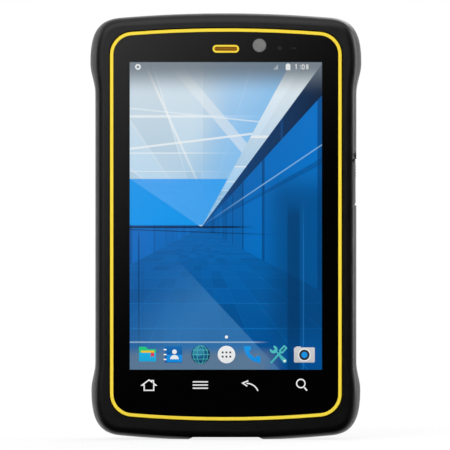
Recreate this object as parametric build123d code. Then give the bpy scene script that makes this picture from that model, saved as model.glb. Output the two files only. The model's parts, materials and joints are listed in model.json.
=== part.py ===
import math
import os

from build123d import *

# Sizes are in millimetres. X points right, Y points to the back, Z points up.

# Display and cover glass
display_width = 94.2
display_height = 150.7
display_border = 2.4
display_gap = 0.3
panel_thickness = 1.2
backlight_thickness = 1.2
backlight_clearance = 0.4
glass_thickness = 1.1
glass_corner = 9.4
glass_gap = 0.15
bezel_side = 7.9
bezel_top = 14.8
bezel_bottom = 23.15
print_thickness = 0.1
print_window_margin = 0.3
tape_thickness = 0.2
tape_width = 3.0
tape_setback = 0.3
touch_film_inset = 3.1
touch_film_height = 9.0
touch_film_thickness = 0.15
touch_film_gap = 0.65

# Trim ring
trim_width = 1.65
trim_gap = 0.55
trim_proud = 0.35
trim_edge = 0.2

# Earpiece, front camera and sensors in the top border
earpiece_width = 13.0
earpiece_height = 3.8
earpiece_rim = 0.85
earpiece_rise_share = 0.335
earpiece_proud = 0.2
mesh_thickness = 0.3
mesh_sink = 0.45
mesh_gap = 0.05
mesh_hole_radius = 0.28
mesh_pitch = 0.85
mesh_columns = 12
mesh_rows = 2
receiver_side = 1.0
receiver_end = 1.1
receiver_depth = 2.0
camera_offset_share = 0.35
camera_rise_share = 0.47
camera_window_radius = 3.35
camera_window_edge = 0.3
camera_window_proud = 0.08
camera_body = 7.0
camera_body_depth = 3.4
camera_barrel_radius = 2.4
sensor_rise_share = 0.36
sensor_spacing = 9.9
sensor_radius = 1.0
pair_gap = 7.05
pair_spacing = 1.35
pair_radius = 0.45
sensor_board_width = 14.0
sensor_board_height = 5.0
sensor_board_thickness = 0.8
sensor_chip = 2.6
sensor_chip_height = 0.7
part_gap = 0.15

# Bumper
lip_side = 3.55
lip_top = 3.45
lip_bottom = 4.7
lip_proud = 0.7
rear_lip = 1.0
rear_lip_side = 4.6
rear_lip_end = 5.2
rear_opening_corner = 8.0
bumper_wall = 3.2
bumper_roof = 3.6
bumper_floor = 4.0
foot_trim = 0.65
crown_radius_top = 610.0
crown_radius_bottom = 560.0
corner_reach = 12.4
bulge_reach = 2.4
foot_bulge_reach = 1.9
shoulder_drop = 23.8
shoulder_rise = 23.8
waist_drop = 40.0
waist_rise = 38.0
front_round = 4.2
back_round = 3.0
side_slope = 1.1
end_slope = 1.3
section_shares = (-0.5, -0.2, 0.15, 0.5)
slope_shares = (1.0, 0.12, 0.0, 1.0)
bulge_shares = (0.1, 0.8, 1.0, 0.3)
curve_share = 0.7
swell_share = 0.42
notch_margin = 2.7
notch_ramp = 2.1
notch_depth = 1.05

# Front housing, mid frame and rear cover
fit_gap = 0.15
housing_corner = 11.0
mid_frame_thickness = 1.2
mid_frame_step = 4.8
mid_frame_gap = 0.15
cavity_depth = 10.6
rear_wall = 2.6
cover_wall = 2.4
gasket_width = 1.0
gasket_depth = 0.8
gasket_setback = 0.7
gasket_gap = 0.05

# Housing screws
screw_shank_radius = 1.2
screw_hole_gap = 0.1
screw_head_radius = 2.3
screw_head_height = 1.3
screw_head_gap = 0.25
screw_head_sink = 0.3
screw_socket_radius = 0.85
screw_socket_depth = 0.7
screw_column_radius = 2.8
screw_inset = 7.95
screw_bite = 2.0
screw_low_gap = 13.0
screw_high_gap = 11.0
screw_door_gap = 9.8

# Battery and its cover
battery_side_gap = 6.4
battery_height_share = 0.478
battery_corner = 3.0
battery_slot_gap = 2.4
battery_lift = 0.3
battery_gap = 0.5
battery_cover_thickness = 1.5
battery_cover_gap = 0.3
battery_cover_corner = 6.0
battery_ledge = 6.4
battery_rim_width = 2.4
battery_rim_depth = 2.0
seal_thickness = 0.4
seal_width = 1.3
seal_setback = 0.5
cover_screw_setback = 3.2
cover_screw_radius = 1.0
cover_screw_head_radius = 1.9
cover_screw_head_height = 0.9
cover_screw_length = 3.2
cover_boss_radius = 2.4
pull_radius = 7.0
pull_depth = 0.7
contact_block_width = 18.0
contact_block_height = 5.0
contact_block_depth = 3.6
contact_block_gap = 0.25

# Main board
board_thickness = 1.0
board_standoff = 1.0
board_standoff_radius = 2.4
board_side_gap = 3.4
board_bottom_gap = 3.0
board_motor_gap = 4.25
board_notch_gap = 0.5
board_screw_radius = 0.9
board_screw_head_radius = 1.7
board_screw_head_height = 0.8
board_screw_inset = 5.0
board_screw_side_share = 0.8
shield_height = 1.8
shield_corner = 1.0
shield_boxes_shares = ((-0.42, 0.36, 0.46, 0.3), (0.3, 0.72, 0.5, 0.28), (0.1, 0.3, 0.3, 0.3))
card_socket_width = 16.0
card_socket_height = 15.0
card_socket_depth = 1.6
card_socket_share = 0.55
card_slot_width = 12.4
card_slot_height = 0.9

# Sockets behind the port door
usb_width = 8.9
usb_depth = 3.2
usb_length = 7.4
usb_wall = 0.4
usb_corner = 1.4
usb_tongue_width = 6.4
usb_tongue_depth = 0.7
hdmi_width = 6.5
hdmi_depth = 3.0
hdmi_wall = 0.35
hdmi_corner = 0.6
hdmi_tongue_width = 4.4
hdmi_tongue_depth = 0.6
socket_spacing = 0.7
socket_mouth_gap = 0.3

# Port door
door_low_share = 0.552
door_length = 21.8
door_front = -8.1
door_back = 7.2
door_gap = 0.5
door_recess = 0.35
door_thickness = 1.7
door_corner = 1.6
door_seal_width = 1.2
door_seal_margin = 0.3
door_seal_gap = 0.05
port_window_low = -3.5
port_window_high = 5.0
port_corner = 1.2
hinge_radius = 1.05
hinge_bore_gap = 0.05
hinge_pin_radius = 0.5
hinge_side_gap = 0.25
hinge_leaf_gap = 0.35
knuckle_low = -1.4
knuckle_high = 3.6
ear_thickness = 1.5
scoop_radius = 4.2
scoop_depth = 2.5
scoop_offset = 7.4
scoop_rise = 0.8

# Side keys
key_width = 5.0
key_middle = 1.0
key_gap = 0.3
key_recess = 0.3
key_edge = 0.4
key_play = 0.1
key_travel = 0.5
key_flange = 1.2
key_flange_thickness = 0.7
key_pocket_depth = 1.5
key_plunger_radius = 0.9
key_plunger_gap = 0.3
key_plunger_reach = 1.95
volume_key_length = 13.0
volume_up_share = 0.726
volume_key_spacing = 4.0
function_key_length = 15.0
function_key_spacing = 15.0
power_key_length = 12.0
power_key_spacing = 16.2
key_board_thickness = 0.6
key_board_width = 7.0
key_board_margin = 3.0
switch_size = 3.4
switch_gap = 0.1
switch_height = 0.8
rail_height = 2.4

# Rear camera and flash
rear_camera_offset_share = -0.38
rear_camera_drop = 24.0
rear_camera_ring_radius = 5.8
rear_camera_ring_width = 1.5
rear_camera_ring_proud = 0.5
rear_camera_ring_edge = 0.35
rear_camera_glass = 0.8
rear_camera_glass_sink = 0.3
rear_camera_glass_gap = 0.05
rear_camera_seat_width = 1.0
rear_camera_hole_gap = 0.1
rear_camera_body = 9.0
rear_camera_body_gap = 0.6
rear_camera_barrel_radius = 2.7
rear_camera_barrel_gap = 0.3
flash_spacing = 11.5
flash_radius = 2.3
flash_flange_radius = 3.2
flash_flange_thickness = 0.8
flash_gap = 0.1

# Loudspeakers
speaker_dock_gap = 3.9
speaker_width = 24.0
speaker_rim = 3.0
speaker_corner = 1.8
speaker_depth = 5.0
speaker_floor_gap = 0.3
speaker_slot_width = 1.2
speaker_slot_height = 5.0
speaker_slot_pitch = 2.5
speaker_slot_count = 6
speaker_slot_rise = 3.0

# Vibration motor
motor_offset_share = 0.55
motor_drop = 8.5
motor_radius = 2.0
motor_length = 7.5
motor_bracket_width = 5.6
motor_bracket_floor = 0.6
motor_shaft_radius = 0.4
motor_shaft_gap = 0.05
motor_shaft_depth = 2.0
motor_weight_gap = 0.4
motor_weight_radius = 1.7
motor_weight_length = 3.2

# Dock connector
dock_side = 2.05
dock_depth = 6.6
dock_middle = 1.0
dock_gap = 0.2
dock_corner = 1.0
dock_recess = 1.1
dock_flange = 1.6
dock_flange_thickness = 1.6
dock_pad_count = 10
dock_pad_width = 1.3
dock_pad_length = 3.6
dock_pad_pitch = 2.4
dock_pad_thickness = 0.3

# Antennas and display cable
antenna_width = 30.0
antenna_height = 8.0
antenna_thickness = 0.4
antenna_offset_share = 0.345
antenna_wall_gap = 2.5
flex_width = 22.0
flex_thickness = 0.2
flex_slot_gap = 0.5
flex_offset_share = -0.55
flex_run = 14.0
flex_plug_height = 3.0
flex_plug_depth = 1.0

# Threaded inserts on the back
insert_spacing = 75.0
insert_cover_gap = 2.4
insert_bore_radius = 1.65
insert_radius = 2.8
insert_length = 5.0
insert_boss_radius = 4.4
insert_boss_floor = 0.8

# Extra length of cutting shapes
overrun = 1.0

# Widths that follow from the display outwards, each half of the whole
display_half = display_width / 2
glass_half = display_half + bezel_side
trim_inner_half = glass_half + glass_gap
trim_outer_half = trim_inner_half + trim_width
lip_half = trim_outer_half + trim_gap
cavity_half = lip_half + lip_side
housing_half = cavity_half - fit_gap
waist_half = cavity_half + bumper_wall
mid_frame_half = housing_half - mid_frame_step
shell_half = housing_half - cover_wall
screw_half = housing_half - screw_inset
receiver_width = earpiece_width + 2 * receiver_side
receiver_height = earpiece_height + 2 * receiver_end
camera_offset = camera_offset_share * display_half
sensor_offset = camera_offset + sensor_spacing
pair_offset = sensor_offset + pair_gap
rear_camera_offset = rear_camera_offset_share * shell_half
flash_offset = rear_camera_offset + flash_spacing
motor_offset = motor_offset_share * shell_half
antenna_offset = antenna_offset_share * shell_half
flex_offset = flex_offset_share * display_half

# Heights that follow from the foot upwards
cavity_low = bumper_floor
lip_low = cavity_low + lip_bottom
trim_low = lip_low + trim_gap
glass_low = trim_low + trim_width + glass_gap
display_low = glass_low + bezel_bottom
display_high = display_low + display_height
glass_high = display_high + bezel_top
trim_high = glass_high + glass_gap + trim_width
lip_high = trim_high + trim_gap
cavity_high = lip_high + lip_top
body_height = cavity_high + bumper_roof
housing_low = cavity_low + fit_gap
housing_high = cavity_high - fit_gap
shell_low = housing_low + cover_wall
shell_high = housing_high - cover_wall
mid_frame_low = housing_low + mid_frame_step
mid_frame_high = housing_high - mid_frame_step
door_low = housing_low + door_low_share * (housing_high - housing_low)
volume_up_height = housing_low + volume_up_share * (housing_high - housing_low)
panel_high = display_high + display_border
earpiece_z = panel_high + earpiece_rise_share * (glass_high - panel_high)
camera_z = panel_high + camera_rise_share * (glass_high - panel_high)
sensor_z = panel_high + sensor_rise_share * (glass_high - panel_high)
display_middle = (display_low + display_high) / 2

# Depths that follow from the front face backwards
stack_depth = lip_proud + glass_thickness + print_thickness + panel_thickness + backlight_thickness
body_depth = stack_depth + backlight_clearance + mid_frame_thickness + cavity_depth + rear_wall + rear_lip
front_y = -body_depth / 2
back_y = body_depth / 2
glass_front = front_y + lip_proud
glass_back = glass_front + glass_thickness
print_back = glass_back + print_thickness
ledge_y = print_back + tape_thickness
panel_back = print_back + panel_thickness
backlight_back = panel_back + backlight_thickness
mid_front = backlight_back + backlight_clearance
mid_back = mid_front + mid_frame_thickness
parting_y = mid_back
shell_y = mid_back + cavity_depth
rear_y = shell_y + rear_wall
board_front = mid_back + board_standoff
board_back = board_front + board_thickness

# Places of the dock, battery, board, sockets, door, keys and screws
dock_width = (dock_pad_count - 1) * dock_pad_pitch + dock_pad_width + 2 * dock_side
notch_floor_width = dock_width + 2 * notch_margin
notch_mouth_width = notch_floor_width + 2 * notch_ramp
speaker_offset = dock_width / 2 + dock_flange + speaker_dock_gap + speaker_width / 2
speaker_reach = speaker_offset + speaker_width / 2
speaker_floor_rise = crown_radius_bottom - math.sqrt(crown_radius_bottom**2 - speaker_reach**2)
speaker_low = shell_low + speaker_floor_rise + speaker_floor_gap
speaker_slot_high = speaker_low + speaker_slot_rise + speaker_slot_height
speaker_high = speaker_slot_high + speaker_rim
battery_cover_low = speaker_slot_high + battery_slot_gap + battery_cover_gap
battery_low = battery_cover_low + battery_ledge + battery_gap
battery_height = battery_height_share * display_height
battery_high = battery_low + battery_height
battery_middle = (battery_low + battery_high) / 2
battery_cover_width = 2 * (screw_half - battery_side_gap)
opening_width = battery_cover_width - 2 * battery_ledge
battery_width = opening_width - 2 * battery_gap
opening_height = battery_height + 2 * battery_gap
battery_cover_height = opening_height + 2 * battery_ledge
battery_cover_high = battery_cover_low + battery_cover_height
cover_seat = rear_y - battery_cover_thickness
seal_seat = cover_seat - seal_thickness
board_low = battery_high + board_bottom_gap
motor_z = shell_high - motor_drop
board_high = motor_z - motor_bracket_width / 2 - board_motor_gap
board_height = board_high - board_low
board_half = shell_half - board_side_gap
board_middle = (board_low + board_high) / 2
socket_mouth = shell_half - socket_mouth_gap
door_high = door_low + door_length
door_middle = (door_low + door_high) / 2
hinge_x = waist_half - door_recess - hinge_radius
hinge_z = door_low + hinge_radius
door_inner_x = waist_half - door_recess - door_thickness
volume_down_height = volume_up_height - volume_key_length - volume_key_spacing
function_key_high = volume_down_height - volume_key_length / 2 - function_key_spacing
function_key_height = function_key_high - function_key_length / 2
power_key_height = door_high + power_key_spacing + power_key_length / 2
leaf_low = hinge_z + hinge_radius + hinge_leaf_gap
port_low = leaf_low + door_seal_margin + door_seal_width
port_high = door_high - door_seal_margin - door_seal_width
port_middle_y = (port_window_low + port_window_high) / 2
port_middle_z = (port_low + port_high) / 2
port_width = port_window_high - port_window_low
sockets_low = port_middle_z - (usb_width + socket_spacing + hdmi_width) / 2
flange_outer = cavity_half - key_play
flange_inner = flange_outer - key_flange_thickness
plunger_tip = flange_inner - key_plunger_reach
switch_face = plunger_tip - key_travel - switch_gap
key_board_face = switch_face - switch_height
key_board_inner = key_board_face - key_board_thickness
trim_corner = glass_corner + glass_gap + trim_width
screw_low = housing_low + screw_low_gap
screw_high = housing_high - screw_high_gap
screw_door = door_high + screw_door_gap
screw_places = [
    (side * screw_half, z)
    for side in (-1, 1)
    for z in (screw_low, (screw_low + screw_door) / 2, screw_door, screw_high)
]
insert_low = battery_cover_high + battery_cover_gap + insert_cover_gap + insert_boss_radius
insert_places = [
    (side * insert_spacing / 2, insert_low + step * insert_spacing)
    for side in (-1, 1)
    for step in (0, 1)
]


def slab(profile, y_from, y_to):
    """A flat profile in X and Z, made solid between two depths."""
    return extrude(Plane.XZ.offset(-y_to) * profile, amount=y_to - y_from)


def side_slab(profile, x_from, x_to):
    """A flat profile in Y and Z, made solid between two distances from the middle."""
    return extrude(Plane.YZ.offset(x_from) * profile, amount=x_to - x_from)


def floor_slab(profile, z_from, z_to):
    """A flat profile in X and Y, made solid between two heights."""
    return extrude(Plane.XY.offset(z_from) * profile, amount=z_to - z_from)


def block(x_from, x_to, y_from, y_to, z_from, z_to):
    """A plain block between two corners."""
    middle = Pos((x_from + x_to) / 2, (y_from + y_to) / 2, (z_from + z_to) / 2)
    return middle * Box(x_to - x_from, y_to - y_from, z_to - z_from)


def disc(x, z, radius, y_from, y_to):
    """A round slab that lies across the depth."""
    return slab(Pos(x, z) * Circle(radius), y_from, y_to)


def side_rod(y, z, radius, x_from, x_to):
    """A round rod that lies across the width."""
    return side_slab(Pos(y, z) * Circle(radius), x_from, x_to)


def crowned(half_width, low, high, corner):
    """A tall outline with straight sides, arched ends and round corners."""
    rise_top = crown_radius_top - math.sqrt(crown_radius_top**2 - half_width**2)
    rise_bottom = crown_radius_bottom - math.sqrt(crown_radius_bottom**2 - half_width**2)
    top_right = (half_width, high - rise_top)
    top_left = (-half_width, high - rise_top)
    bottom_right = (half_width, low + rise_bottom)
    bottom_left = (-half_width, low + rise_bottom)
    outline = make_face([
        Line(bottom_right, top_right),
        ThreePointArc(top_right, (0, high), top_left),
        Line(top_left, bottom_left),
        ThreePointArc(bottom_left, (0, low), bottom_right),
    ])
    return fillet(outline.vertices(), corner)


def swelling_curve(start, end):
    """A soft step between two points, upright at both ends."""
    reach = swell_share * (end[1] - start[1])
    return Bezier(start, (start[0], start[1] + reach), (end[0], end[1] - reach), end)


def corner_curve(crown_end, slope, shoulder):
    """A soft quarter turn from an arched end to the upright shoulder."""
    reach_x = curve_share * (shoulder[0] - crown_end[0])
    reach_z = curve_share * (crown_end[1] - shoulder[1])
    leave = (crown_end[0] + reach_x, crown_end[1] + slope * reach_x)
    arrive = (shoulder[0], shoulder[1] + reach_z)
    return Bezier(crown_end, leave, arrive, shoulder)


def body_section(shrink, slope_share, bulge_share):
    """The outside outline at one depth: narrow at the waist, swelling at the corners."""
    half = waist_half - shrink - slope_share * side_slope
    wide_top = half + bulge_share * bulge_reach
    wide_bottom = half + bulge_share * foot_bulge_reach
    high = body_height - shrink - slope_share * end_slope
    low = shrink + slope_share * end_slope - foot_trim
    crown = waist_half - corner_reach - shrink
    rise_top = crown_radius_top - math.sqrt(crown_radius_top**2 - crown**2)
    rise_bottom = crown_radius_bottom - math.sqrt(crown_radius_bottom**2 - crown**2)
    top_end = (crown, high - rise_top)
    bottom_end = (crown, low + rise_bottom)
    shoulder_top = (wide_top, body_height - shoulder_drop)
    shoulder_bottom = (wide_bottom, shoulder_rise)
    waist_top = (half, body_height - waist_drop)
    waist_bottom = (half, waist_rise)
    right = [
        corner_curve(top_end, -crown / crown_radius_top, shoulder_top),
        swelling_curve(shoulder_top, waist_top),
        Line(waist_top, waist_bottom),
        swelling_curve(waist_bottom, shoulder_bottom),
        corner_curve(bottom_end, crown / crown_radius_bottom, shoulder_bottom),
    ]
    left = [mirror(edge, about=Plane.YZ) for edge in right]
    top = ThreePointArc((-crown, top_end[1]), (0, high), top_end)
    bottom = ThreePointArc(bottom_end, (0, low), (-crown, bottom_end[1]))
    return make_face([top, *right, bottom, *reversed(left)])


def body_solid(shrink):
    """The whole outside shape, filled, with its front and back edges rounded."""
    sections = [
        Plane.XZ.offset(-depth_share * body_depth) * body_section(shrink, slope_share, bulge_share)
        for depth_share, slope_share, bulge_share in zip(section_shares, slope_shares, bulge_shares)
    ]
    solid = loft(sections)
    solid = fillet(solid.edges().group_by(Axis.Y)[0], front_round)
    solid = fillet(solid.edges().group_by(Axis.Y)[-1], back_round)
    return solid


def key_outline(length, margin):
    """The rounded outline of a side key, grown by a margin."""
    width = key_width + 2 * margin
    return RectangleRounded(width, length + 2 * margin, width / 2 - key_edge)


def door_outline(margin):
    """The door opening in the side: round at the top, square at the hinge end."""
    width = door_back - door_front + 2 * margin
    length = door_length + 2 * margin
    rounded_part = RectangleRounded(width, length, door_corner + margin)
    square_part = Pos(0, -length / 4) * Rectangle(width, length / 2)
    return Pos((door_front + door_back) / 2, door_middle) * (rounded_part + square_part)


def door_well():
    """The opening that the door lies in, shallow where it reaches into the front lip."""
    well = side_slab(door_outline(door_gap), shell_half, waist_half + overrun)
    low = door_low - door_length
    high = door_high + door_length
    return well - block(shell_half, door_inner_x - door_gap, front_y, ledge_y, low, high)


def port_outline(margin):
    """The window through the housing wall to the sockets, grown by a margin."""
    width = port_width + 2 * margin
    height = port_high - port_low + 2 * margin
    return Pos(port_middle_y, port_middle_z) * RectangleRounded(width, height, port_corner + margin)


def earpiece_outline(margin):
    """The long round-ended outline of the earpiece, grown by a margin."""
    height = earpiece_height + 2 * margin
    return Pos(0, earpiece_z) * SlotOverall(earpiece_width + 2 * margin, height)


def battery_outline(margin, corner):
    """The outline of the battery bay, grown by a margin."""
    width = opening_width + 2 * margin
    height = opening_height + 2 * margin
    return Pos(0, battery_middle) * RectangleRounded(width, height, corner)


def to_left(shape):
    """The same shape on the left side."""
    return mirror(shape, about=Plane.YZ)


def key_places():
    """Each side key: whether it is on the left, its height and its length."""
    return {
        "power_key": (False, power_key_height, power_key_length),
        "volume_up_key": (True, volume_up_height, volume_key_length),
        "volume_down_key": (True, volume_down_height, volume_key_length),
        "function_key": (True, function_key_height, function_key_length),
    }


def key_cut(margin, x_from, x_to):
    """A cut for every side key, in its own side wall."""
    cuts = []
    for on_left, height, length in key_places().values():
        cut = side_slab(Pos(key_middle, height) * key_outline(length, margin), x_from, x_to)
        cuts.append(to_left(cut) if on_left else cut)
    return cuts


def plunger_cut():
    """A round hole for the plunger of every side key."""
    cuts = []
    for on_left, height, _ in key_places().values():
        radius = key_plunger_radius + key_plunger_gap
        cut = side_rod(key_middle, height, radius, shell_half - overrun, housing_half)
        cuts.append(to_left(cut) if on_left else cut)
    return cuts


def screw_cuts(radius, y_from, y_to):
    """A round cut at every housing screw."""
    return [disc(x, z, radius, y_from, y_to) for x, z in screw_places]


def bumper():
    """Rubber boot around the housing, open at the front and the back."""
    solid = body_solid(0)
    reach = waist_half + bulge_reach
    solid -= block(-reach, reach, front_y, back_y, -foot_trim - overrun, 0)
    solid -= slab(crowned(cavity_half, cavity_low, cavity_high, housing_corner + fit_gap), ledge_y, rear_y)
    solid -= slab(crowned(lip_half, lip_low, lip_high, trim_corner + trim_gap), front_y - overrun, ledge_y)
    rear_half = cavity_half - rear_lip_side
    rear_low = cavity_low + rear_lip_end
    rear_high = cavity_high - rear_lip_end
    solid -= slab(crowned(rear_half, rear_low, rear_high, rear_opening_corner), rear_y, back_y + overrun)
    notch = Polyline(
        (-notch_mouth_width / 2, -overrun),
        (-notch_mouth_width / 2, 0),
        (-notch_floor_width / 2, notch_depth),
        (notch_floor_width / 2, notch_depth),
        (notch_mouth_width / 2, 0),
        (notch_mouth_width / 2, -overrun),
        close=True,
    )
    solid -= slab(make_face(notch), front_y - overrun, back_y + overrun)
    solid -= floor_slab(dock_outline(dock_gap), 0, cavity_low + overrun)
    solid -= key_cut(key_gap, shell_half, waist_half + overrun)
    solid -= door_well()
    scoop_x = waist_half + scoop_radius - scoop_depth
    solid -= Pos(scoop_x, -scoop_offset, door_high + scoop_rise) * Sphere(scoop_radius)
    return solid


def trim_ring():
    """Coloured ring between the bumper and the glass."""
    ring = slab(crowned(trim_outer_half, trim_low, trim_high, trim_corner), glass_front - trim_proud, ledge_y)
    inner_low = trim_low + trim_width
    inner_high = trim_high - trim_width
    inner = crowned(trim_inner_half, inner_low, inner_high, trim_corner - trim_width)
    ring -= slab(inner, glass_front - trim_proud - overrun, ledge_y + overrun)
    return chamfer(ring.edges().group_by(Axis.Y)[0], trim_edge)


def cover_glass():
    """Touch glass with holes for the earpiece and the front camera window."""
    glass = slab(crowned(glass_half, glass_low, glass_high, glass_corner), glass_front, glass_back)
    glass -= slab(earpiece_outline(mesh_gap), glass_front - overrun, glass_back + overrun)
    hole = camera_window_radius + mesh_gap
    glass -= disc(camera_offset, camera_z, hole, glass_front - overrun, glass_back + overrun)
    return glass


def sensor_discs(margin):
    """The three small round spots beside the front camera."""
    places = [
        (sensor_offset, sensor_radius),
        (pair_offset - pair_spacing / 2, pair_radius),
        (pair_offset + pair_spacing / 2, pair_radius),
    ]
    return [disc(x, sensor_z, radius + margin, glass_back, print_back) for x, radius in places]


def glass_print():
    """Black print behind the glass around the display."""
    ink = slab(crowned(glass_half, glass_low, glass_high, glass_corner), glass_back, print_back)
    window_width = display_width + 2 * print_window_margin
    window_height = display_height + 2 * print_window_margin
    window = Pos(0, display_middle) * Rectangle(window_width, window_height)
    ink -= slab(window, glass_back, print_back)
    ink -= slab(earpiece_outline(mesh_gap), glass_back, print_back)
    ink -= disc(camera_offset, camera_z, camera_barrel_radius, glass_back, print_back)
    ink -= sensor_discs(mesh_gap)
    return ink


def glass_tape():
    """Sticky frame that holds the glass on the front housing."""
    outer_low = glass_low + tape_setback
    outer_high = glass_high - tape_setback
    outer = crowned(glass_half - tape_setback, outer_low, outer_high, glass_corner - tape_setback)
    inner_half = glass_half - tape_setback - tape_width
    inner_corner = glass_corner - tape_setback - tape_width
    inner = crowned(inner_half, outer_low + tape_width, outer_high - tape_width, inner_corner)
    return slab(outer, print_back, ledge_y) - slab(inner, print_back, ledge_y)


def touch_key_film():
    """Film behind the print that senses the four touch keys."""
    half = display_half - touch_film_inset
    high = display_low - display_border - touch_film_gap
    low = high - touch_film_height
    return block(-half, half, print_back, print_back + touch_film_thickness, low, high)


def earpiece_rim_piece():
    """Rim around the earpiece opening."""
    rim = slab(earpiece_outline(0), glass_front - earpiece_proud, ledge_y)
    rim -= slab(earpiece_outline(-earpiece_rim), glass_front - earpiece_proud - overrun, ledge_y + overrun)
    return chamfer(rim.edges().group_by(Axis.Y)[0], earpiece_proud / 2)


def earpiece_mesh():
    """Perforated plate inside the earpiece rim."""
    mesh_front = glass_front + mesh_sink
    mesh_back = mesh_front + mesh_thickness
    plate = slab(earpiece_outline(-earpiece_rim - mesh_gap), mesh_front, mesh_back)
    for place in GridLocations(mesh_pitch, mesh_pitch, mesh_columns, mesh_rows):
        hole = Pos(0, earpiece_z) * place * Circle(mesh_hole_radius)
        plate -= slab(hole, mesh_front - overrun, mesh_back + overrun)
    return plate


def earpiece_receiver():
    """Small sound box behind the earpiece."""
    box = Pos(0, earpiece_z) * RectangleRounded(receiver_width, receiver_height, receiver_height / 4)
    return slab(box, ledge_y, ledge_y + receiver_depth)


def front_camera_window():
    """Round window of the front camera, set in the glass."""
    pane = disc(camera_offset, camera_z, camera_window_radius, glass_front - camera_window_proud, glass_back)
    return chamfer(pane.edges().group_by(Axis.Y)[0], camera_window_edge)


def front_camera_module():
    """Front camera behind its window."""
    body = Pos(camera_offset, camera_z) * Rectangle(camera_body, camera_body)
    module = slab(body, ledge_y, ledge_y + camera_body_depth)
    return module + disc(camera_offset, camera_z, camera_barrel_radius - mesh_gap, glass_back, ledge_y)


def sensor_board():
    """Small board with the light and distance sensors."""
    middle = (sensor_offset + pair_offset) / 2
    chip_back = ledge_y + sensor_chip_height
    outline = Pos(middle, sensor_z) * Rectangle(sensor_board_width, sensor_board_height)
    board = slab(outline, chip_back, chip_back + sensor_board_thickness)
    for x in (sensor_offset, pair_offset):
        board += slab(Pos(x, sensor_z) * Rectangle(sensor_chip, sensor_chip), ledge_y, chip_back)
    return board


def display_outline(margin):
    """The outline of the display module, grown by a margin."""
    width = display_width + 2 * display_border + 2 * margin
    height = display_height + 2 * display_border + 2 * margin
    return Pos(0, display_middle) * Rectangle(width, height)


def mid_frame_outline(margin):
    """The outline of the mid frame, shrunk by a margin."""
    low = mid_frame_low + margin
    high = mid_frame_high - margin
    return crowned(mid_frame_half - margin, low, high, housing_corner - mid_frame_step)


def front_housing():
    """Stiff frame that carries the glass, the display and the mid frame."""
    frame = slab(crowned(housing_half, housing_low, housing_high, housing_corner), ledge_y, parting_y)
    frame -= slab(display_outline(display_gap), ledge_y - overrun, parting_y)
    frame -= slab(mid_frame_outline(0), mid_front, parting_y + overrun)
    receiver = Pos(0, earpiece_z) * Rectangle(receiver_width + 2 * part_gap, receiver_height + 2 * part_gap)
    frame -= slab(receiver, ledge_y - overrun, ledge_y + receiver_depth)
    camera_side = camera_body + 2 * part_gap
    camera = Pos(camera_offset, camera_z) * Rectangle(camera_side, camera_side)
    frame -= slab(camera, ledge_y - overrun, mid_front)
    board_x = (sensor_offset + pair_offset) / 2
    board_width = sensor_board_width + 2 * part_gap
    board = Pos(board_x, sensor_z) * Rectangle(board_width, sensor_board_height + 2 * part_gap)
    frame -= slab(board, ledge_y - overrun, ledge_y + sensor_chip_height + sensor_board_thickness)
    frame -= screw_cuts(screw_shank_radius + screw_hole_gap, mid_front - screw_bite, mid_front + overrun)
    return frame


def board_screw_places():
    """The four screw places of the main board."""
    return [
        (side * board_screw_side_share * board_half, z)
        for side in (-1, 1)
        for z in (board_low + board_screw_inset, board_high - board_screw_inset)
    ]


def flex_height():
    """Height of the slot where the display cable passes the mid frame."""
    return (battery_high + board_low) / 2


def mid_frame():
    """Light metal plate between the display and the inner parts, with board standoffs."""
    plate = slab(mid_frame_outline(mid_frame_gap), mid_front, mid_back)
    camera_side = camera_body + 2 * part_gap
    camera = Pos(camera_offset, camera_z) * Rectangle(camera_side, camera_side)
    plate -= slab(camera, mid_front - overrun, mid_back + overrun)
    slot_height = flex_thickness + 2 * flex_slot_gap
    slot = Pos(flex_offset, flex_height()) * Rectangle(flex_width + 2 * flex_slot_gap, slot_height)
    plate -= slab(slot, mid_front - overrun, mid_back + overrun)
    plate -= screw_cuts(screw_shank_radius + screw_hole_gap, mid_front - overrun, mid_back + overrun)
    for x, z in board_screw_places():
        plate += disc(x, z, board_standoff_radius, mid_back, board_front)
    for x, z in board_screw_places():
        plate -= disc(x, z, board_screw_radius + screw_hole_gap, mid_front, board_front)
    return plate


def display_panel():
    """Display pane behind the glass."""
    return slab(display_outline(0), print_back, panel_back)


def display_backlight():
    """Backlight box behind the display pane."""
    return slab(display_outline(0), panel_back, backlight_back)


def display_flex():
    """Flat cable from the backlight through the mid frame to the main board, with its plug."""
    left = flex_offset - flex_width / 2
    right = flex_offset + flex_width / 2
    z = flex_height()
    plug_low = board_low + flex_thickness
    plug_high = plug_low + flex_plug_height
    plug_back = board_back + flex_plug_depth
    cable_back = plug_back + flex_thickness
    cable = block(left, right, backlight_back, backlight_back + flex_thickness, z - flex_run, z)
    cable += block(left, right, backlight_back, cable_back, z, z + flex_thickness)
    cable += block(left, right, plug_back, cable_back, z, plug_high)
    return cable + block(left, right, board_back, plug_back, plug_low, plug_high)


def housing_gasket():
    """Soft ring between the front housing and the rear cover."""
    return gasket_ring(gasket_gap)


def gasket_ring(margin):
    """The gasket or, with no margin, the groove that holds it."""
    outer_set = gasket_setback + margin
    inner_set = gasket_setback + gasket_width - margin
    rings = [
        crowned(housing_half - inset, housing_low + inset, housing_high - inset, housing_corner - inset)
        for inset in (outer_set, inner_set)
    ]
    gasket_back = parting_y + gasket_depth
    return slab(rings[0], parting_y, gasket_back) - slab(rings[1], parting_y, gasket_back)


def ear_starts():
    """Depths where the two ears of the door hinge start."""
    return knuckle_low - hinge_side_gap - ear_thickness, knuckle_high + hinge_side_gap


def hinge_ears():
    """Two ears on the rear cover that hold the door pin."""
    ears = []
    for y_from in ear_starts():
        y_to = y_from + ear_thickness
        ear = block(shell_half, hinge_x, y_from, y_to, hinge_z - hinge_radius, hinge_z + hinge_radius)
        ears.append(ear + disc(hinge_x, hinge_z, hinge_radius, y_from, y_to))
    return ears


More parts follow.
